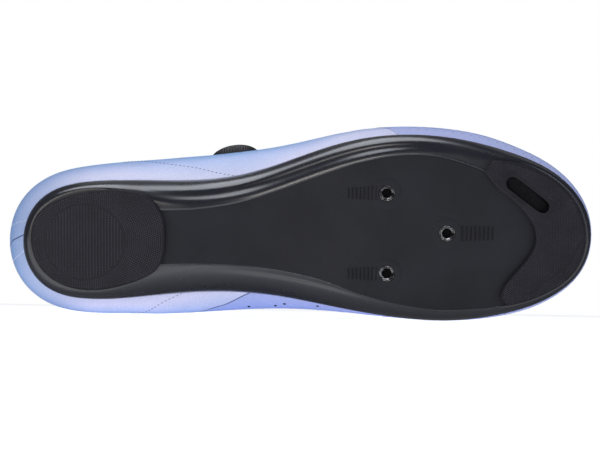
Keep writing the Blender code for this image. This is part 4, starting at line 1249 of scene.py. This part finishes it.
def dial_frame():
    """Seat of the knob: its lower face's middle, with Z along its axis, from the CAD knob."""
    points = mesh_points(frame["nodes"]["dial_knob"].data)
    points = np.unique(points.round(7), axis=0)
    centre = points.mean(axis=0)
    axis = np.linalg.svd(points - centre)[2][2]
    if axis @ (centre - np.array(at(*INSTEP_MIDDLE))) < 0:
        axis = -axis
    along = (points - centre) @ axis
    middle = centre + axis * (along.max() + along.min()) / 2
    low = Vector(middle - axis * KNOB_HEIGHT / 2 * MM)
    return frame_on(low, Vector(axis), Vector((1, 0, 0)))


def build_dial():
    """Ribbed knob with a dished top on a round base."""
    knob = turned("dial_grip", KNOB_ROWS, 4 * KNOB_RIBS)
    for vert in knob.data.vertices:
        reach = math.hypot(vert.co.x, vert.co.y)
        height = vert.co.z / MM
        band = smoothstep(*RIB_FOOT, height) * (1 - smoothstep(*RIB_HEAD, height))
        if reach > RIB_INSIDE * MM:
            turn = math.atan2(vert.co.y, vert.co.x)
            groove = RIB_DEPTH * MM * band * (0.5 - 0.5 * math.cos(KNOB_RIBS * turn))
            vert.co.x *= 1 - groove / reach
            vert.co.y *= 1 - groove / reach
    wear(placed(knob, dial_frame()), PLASTIC)
    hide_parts("dial_knob")
    base = smooth_copy("dial_base", "dial_bayonet", 2, sharp=50, crease=0.6)
    wear(base, PLASTIC)
    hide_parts("dial_base")


def build_guides():
    for side in ("inner", "outer"):
        for step in (1, 2, 3):
            node = f"lace_guide_{side}_{step}"
            guide = smooth_copy(node, f"guide_{side}_{step}", 2, sharp=50, crease=0.6)
            wear(guide, PLASTIC)
            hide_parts(node)


def dress_kept_nodes():
    """Materials of the CAD nodes that stay as they are."""
    # The vent's grille takes the unlit black: painted shade in the slot behind the wires.
    for node, material in (("toe_vent", DARK), ("lace", PLASTIC)):
        kept = frame["nodes"][node]
        kept.data.materials.clear()
        kept.data.materials.append(material)


# Studio

# Camera: its distance from the sole, the heights of its eye and of its aim, the aim's x, and the
# width that it frames, all in metres in the room
CAMERA_DISTANCE = 1.5
CAMERA_HEIGHT = 0.008
AIM_HEIGHT = 0.0462
AIM_X = 0.0
FRAME_WIDTH = 0.2974
# Its sensor's width, its roll, and the point of the sole that it stands before
SENSOR = 36.0
ROLL = math.radians(1.18)
SOLE_MIDDLE = (150, 0, 0)


def build_camera():
    camera = bpy.data.cameras.new("camera")
    camera.sensor_width = SENSOR
    camera.lens = SENSOR * CAMERA_DISTANCE / FRAME_WIDTH
    camera.clip_start = 0.01
    sole_y = at(*SOLE_MIDDLE).y
    eye = Vector((AIM_X, sole_y - CAMERA_DISTANCE, CAMERA_HEIGHT))
    target = Vector((AIM_X, sole_y, AIM_HEIGHT))
    turn = (target - eye).to_track_quat("-Z", "Y").to_matrix() @ Matrix.Rotation(ROLL, 3, "Z")
    obj = bpy.data.objects.new("camera", camera)
    bpy.context.scene.collection.objects.link(obj)
    obj.matrix_world = Matrix.Translation(eye) @ turn.to_4x4()
    bpy.context.scene.camera = obj


# Soft boxes: name, place and size across and down in metres, power in watts, colour
SOFT_BOXES = [
    ("top_box", (-0.18, -0.10, 1.15), 0.95, 0.7, 8.6, (0.89, 0.93, 1.0)),
    ("low_box", (-0.45, -1.5, 0.24), 0.9, 0.3, 5.0, (1.0, 0.95, 0.90)),
    ("heel_box", (-1.25, -0.95, 0.45), 0.3, 0.9, 2.5, (1.0, 0.93, 0.86)),
    ("toe_box", (1.3, -0.8, 0.55), 0.6, 0.8, 2.4, (0.80, 0.88, 1.0)),
    ("back_box", (0.3, 1.3, 1.3), 1.6, 1.0, 0.8, (1.0, 1.0, 1.0)),
]
# Point that they all face, in metres
LIGHT_AIM = (0, 0, 0.05)


def build_lights():
    for name, place, width, height, power, colour in SOFT_BOXES:
        light = bpy.data.lights.new(name, "AREA")
        light.shape = "RECTANGLE"
        light.size = width
        light.size_y = height
        light.energy = power
        light.color = colour
        obj = bpy.data.objects.new(name, light)
        bpy.context.scene.collection.objects.link(obj)
        aim = Vector(LIGHT_AIM) - Vector(place)
        obj.matrix_world = Matrix.Translation(place) @ aim.to_track_quat("-Z", "Y").to_matrix().to_4x4()


ROOM_TINT = (0.93, 0.95, 1.0, 1.0)
ROOM_GREY = 0.2
MIRRORED_GREY = 0.05
WHITE = (1.0, 1.0, 1.0, 1.0)


def build_world():
    """White to the camera, a soft grey fill, and darker still in reflections."""
    world = bpy.data.worlds.new("studio")
    world.use_nodes = True
    bpy.context.scene.world = world
    tree = world.node_tree
    background = tree.nodes["Background"]
    background.inputs["Color"].default_value = ROOM_TINT
    white = tree.nodes.new("ShaderNodeBackground")
    white.inputs["Color"].default_value = WHITE
    white.inputs["Strength"].default_value = 1.0
    path = tree.nodes.new("ShaderNodeLightPath")
    dim = tree.nodes.new("ShaderNodeMath")
    dim.operation = "MULTIPLY_ADD"
    dim.inputs[1].default_value = MIRRORED_GREY - ROOM_GREY
    dim.inputs[2].default_value = ROOM_GREY
    tree.links.new(path.outputs["Is Glossy Ray"], dim.inputs[0])
    tree.links.new(dim.outputs[0], background.inputs["Strength"])
    mix = tree.nodes.new("ShaderNodeMixShader")
    tree.links.new(path.outputs["Is Camera Ray"], mix.inputs[0])
    tree.links.new(background.outputs[0], mix.inputs[1])
    tree.links.new(white.outputs[0], mix.inputs[2])
    tree.links.new(mix.outputs[0], tree.nodes["World Output"].inputs["Surface"])


# Floor: its side in metres, its colour and how much it glows
FLOOR_SIZE = 3.2
FLOOR_COLOUR = (0.93, 0.93, 0.94)
FLOOR_GLOW = 0.6
BLACK = (0.0, 0.0, 0.0)
# Dark cards that only reflections see on the floor: y from and to in metres, how dark at each
FRONT_CARD = (-0.34, -0.18, 0.85, 0.0)
SHOE_CARD = (-0.10, -0.035, 0.0, 0.93)


def build_floor():
    """Pale floor, of which the shoe's shine shows only a band before the sole, between dark cards."""
    bpy.ops.object.select_all(action="DESELECT")
    bpy.ops.mesh.primitive_plane_add(size=FLOOR_SIZE)
    floor = bpy.context.active_object
    floor.name = "studio_floor"
    look = Look("pale_floor", FLOOR_COLOUR, 0.9, specular_ior_level=0.1)
    room = look.add("TexCoord").outputs["Object"]
    depth = look.add("SeparateXYZ", {0: room}).outputs[1]
    card = look.maths("MAXIMUM", look.span(depth, *FRONT_CARD), look.span(depth, *SHOE_CARD))
    dim = look.maths("MULTIPLY", look.add("LightPath").outputs["Is Glossy Ray"], card)
    look.colour(look.mix(dim, FLOOR_COLOUR, BLACK))
    look.put(look.shader, "Emission Color", WHITE)
    look.put(look.shader, "Emission Strength", look.maths("MULTIPLY_ADD", dim, -FLOOR_GLOW, FLOOR_GLOW))
    look.rough(look.span(look.noise(room, 3.0), 0.3, 0.7, 0.85, 0.95))
    floor.data.materials.append(look.material)


def main():
    skin = build_upper()
    stay = build_eyestay()
    dress_upper(skin)
    dress_edges(skin, stay)
    wall = build_wall()
    under = tree_of(wall)
    build_panel(under)
    build_beads(under)
    build_ruler(under)
    build_inserts(under)
    build_pads()
    build_vent()
    build_tongue()
    build_insole()
    build_dial()
    build_guides()
    dress_kept_nodes()
    build_camera()
    build_lights()
    build_world()
    build_floor()
    bpy.context.scene.view_settings.view_transform = "Standard"


main()
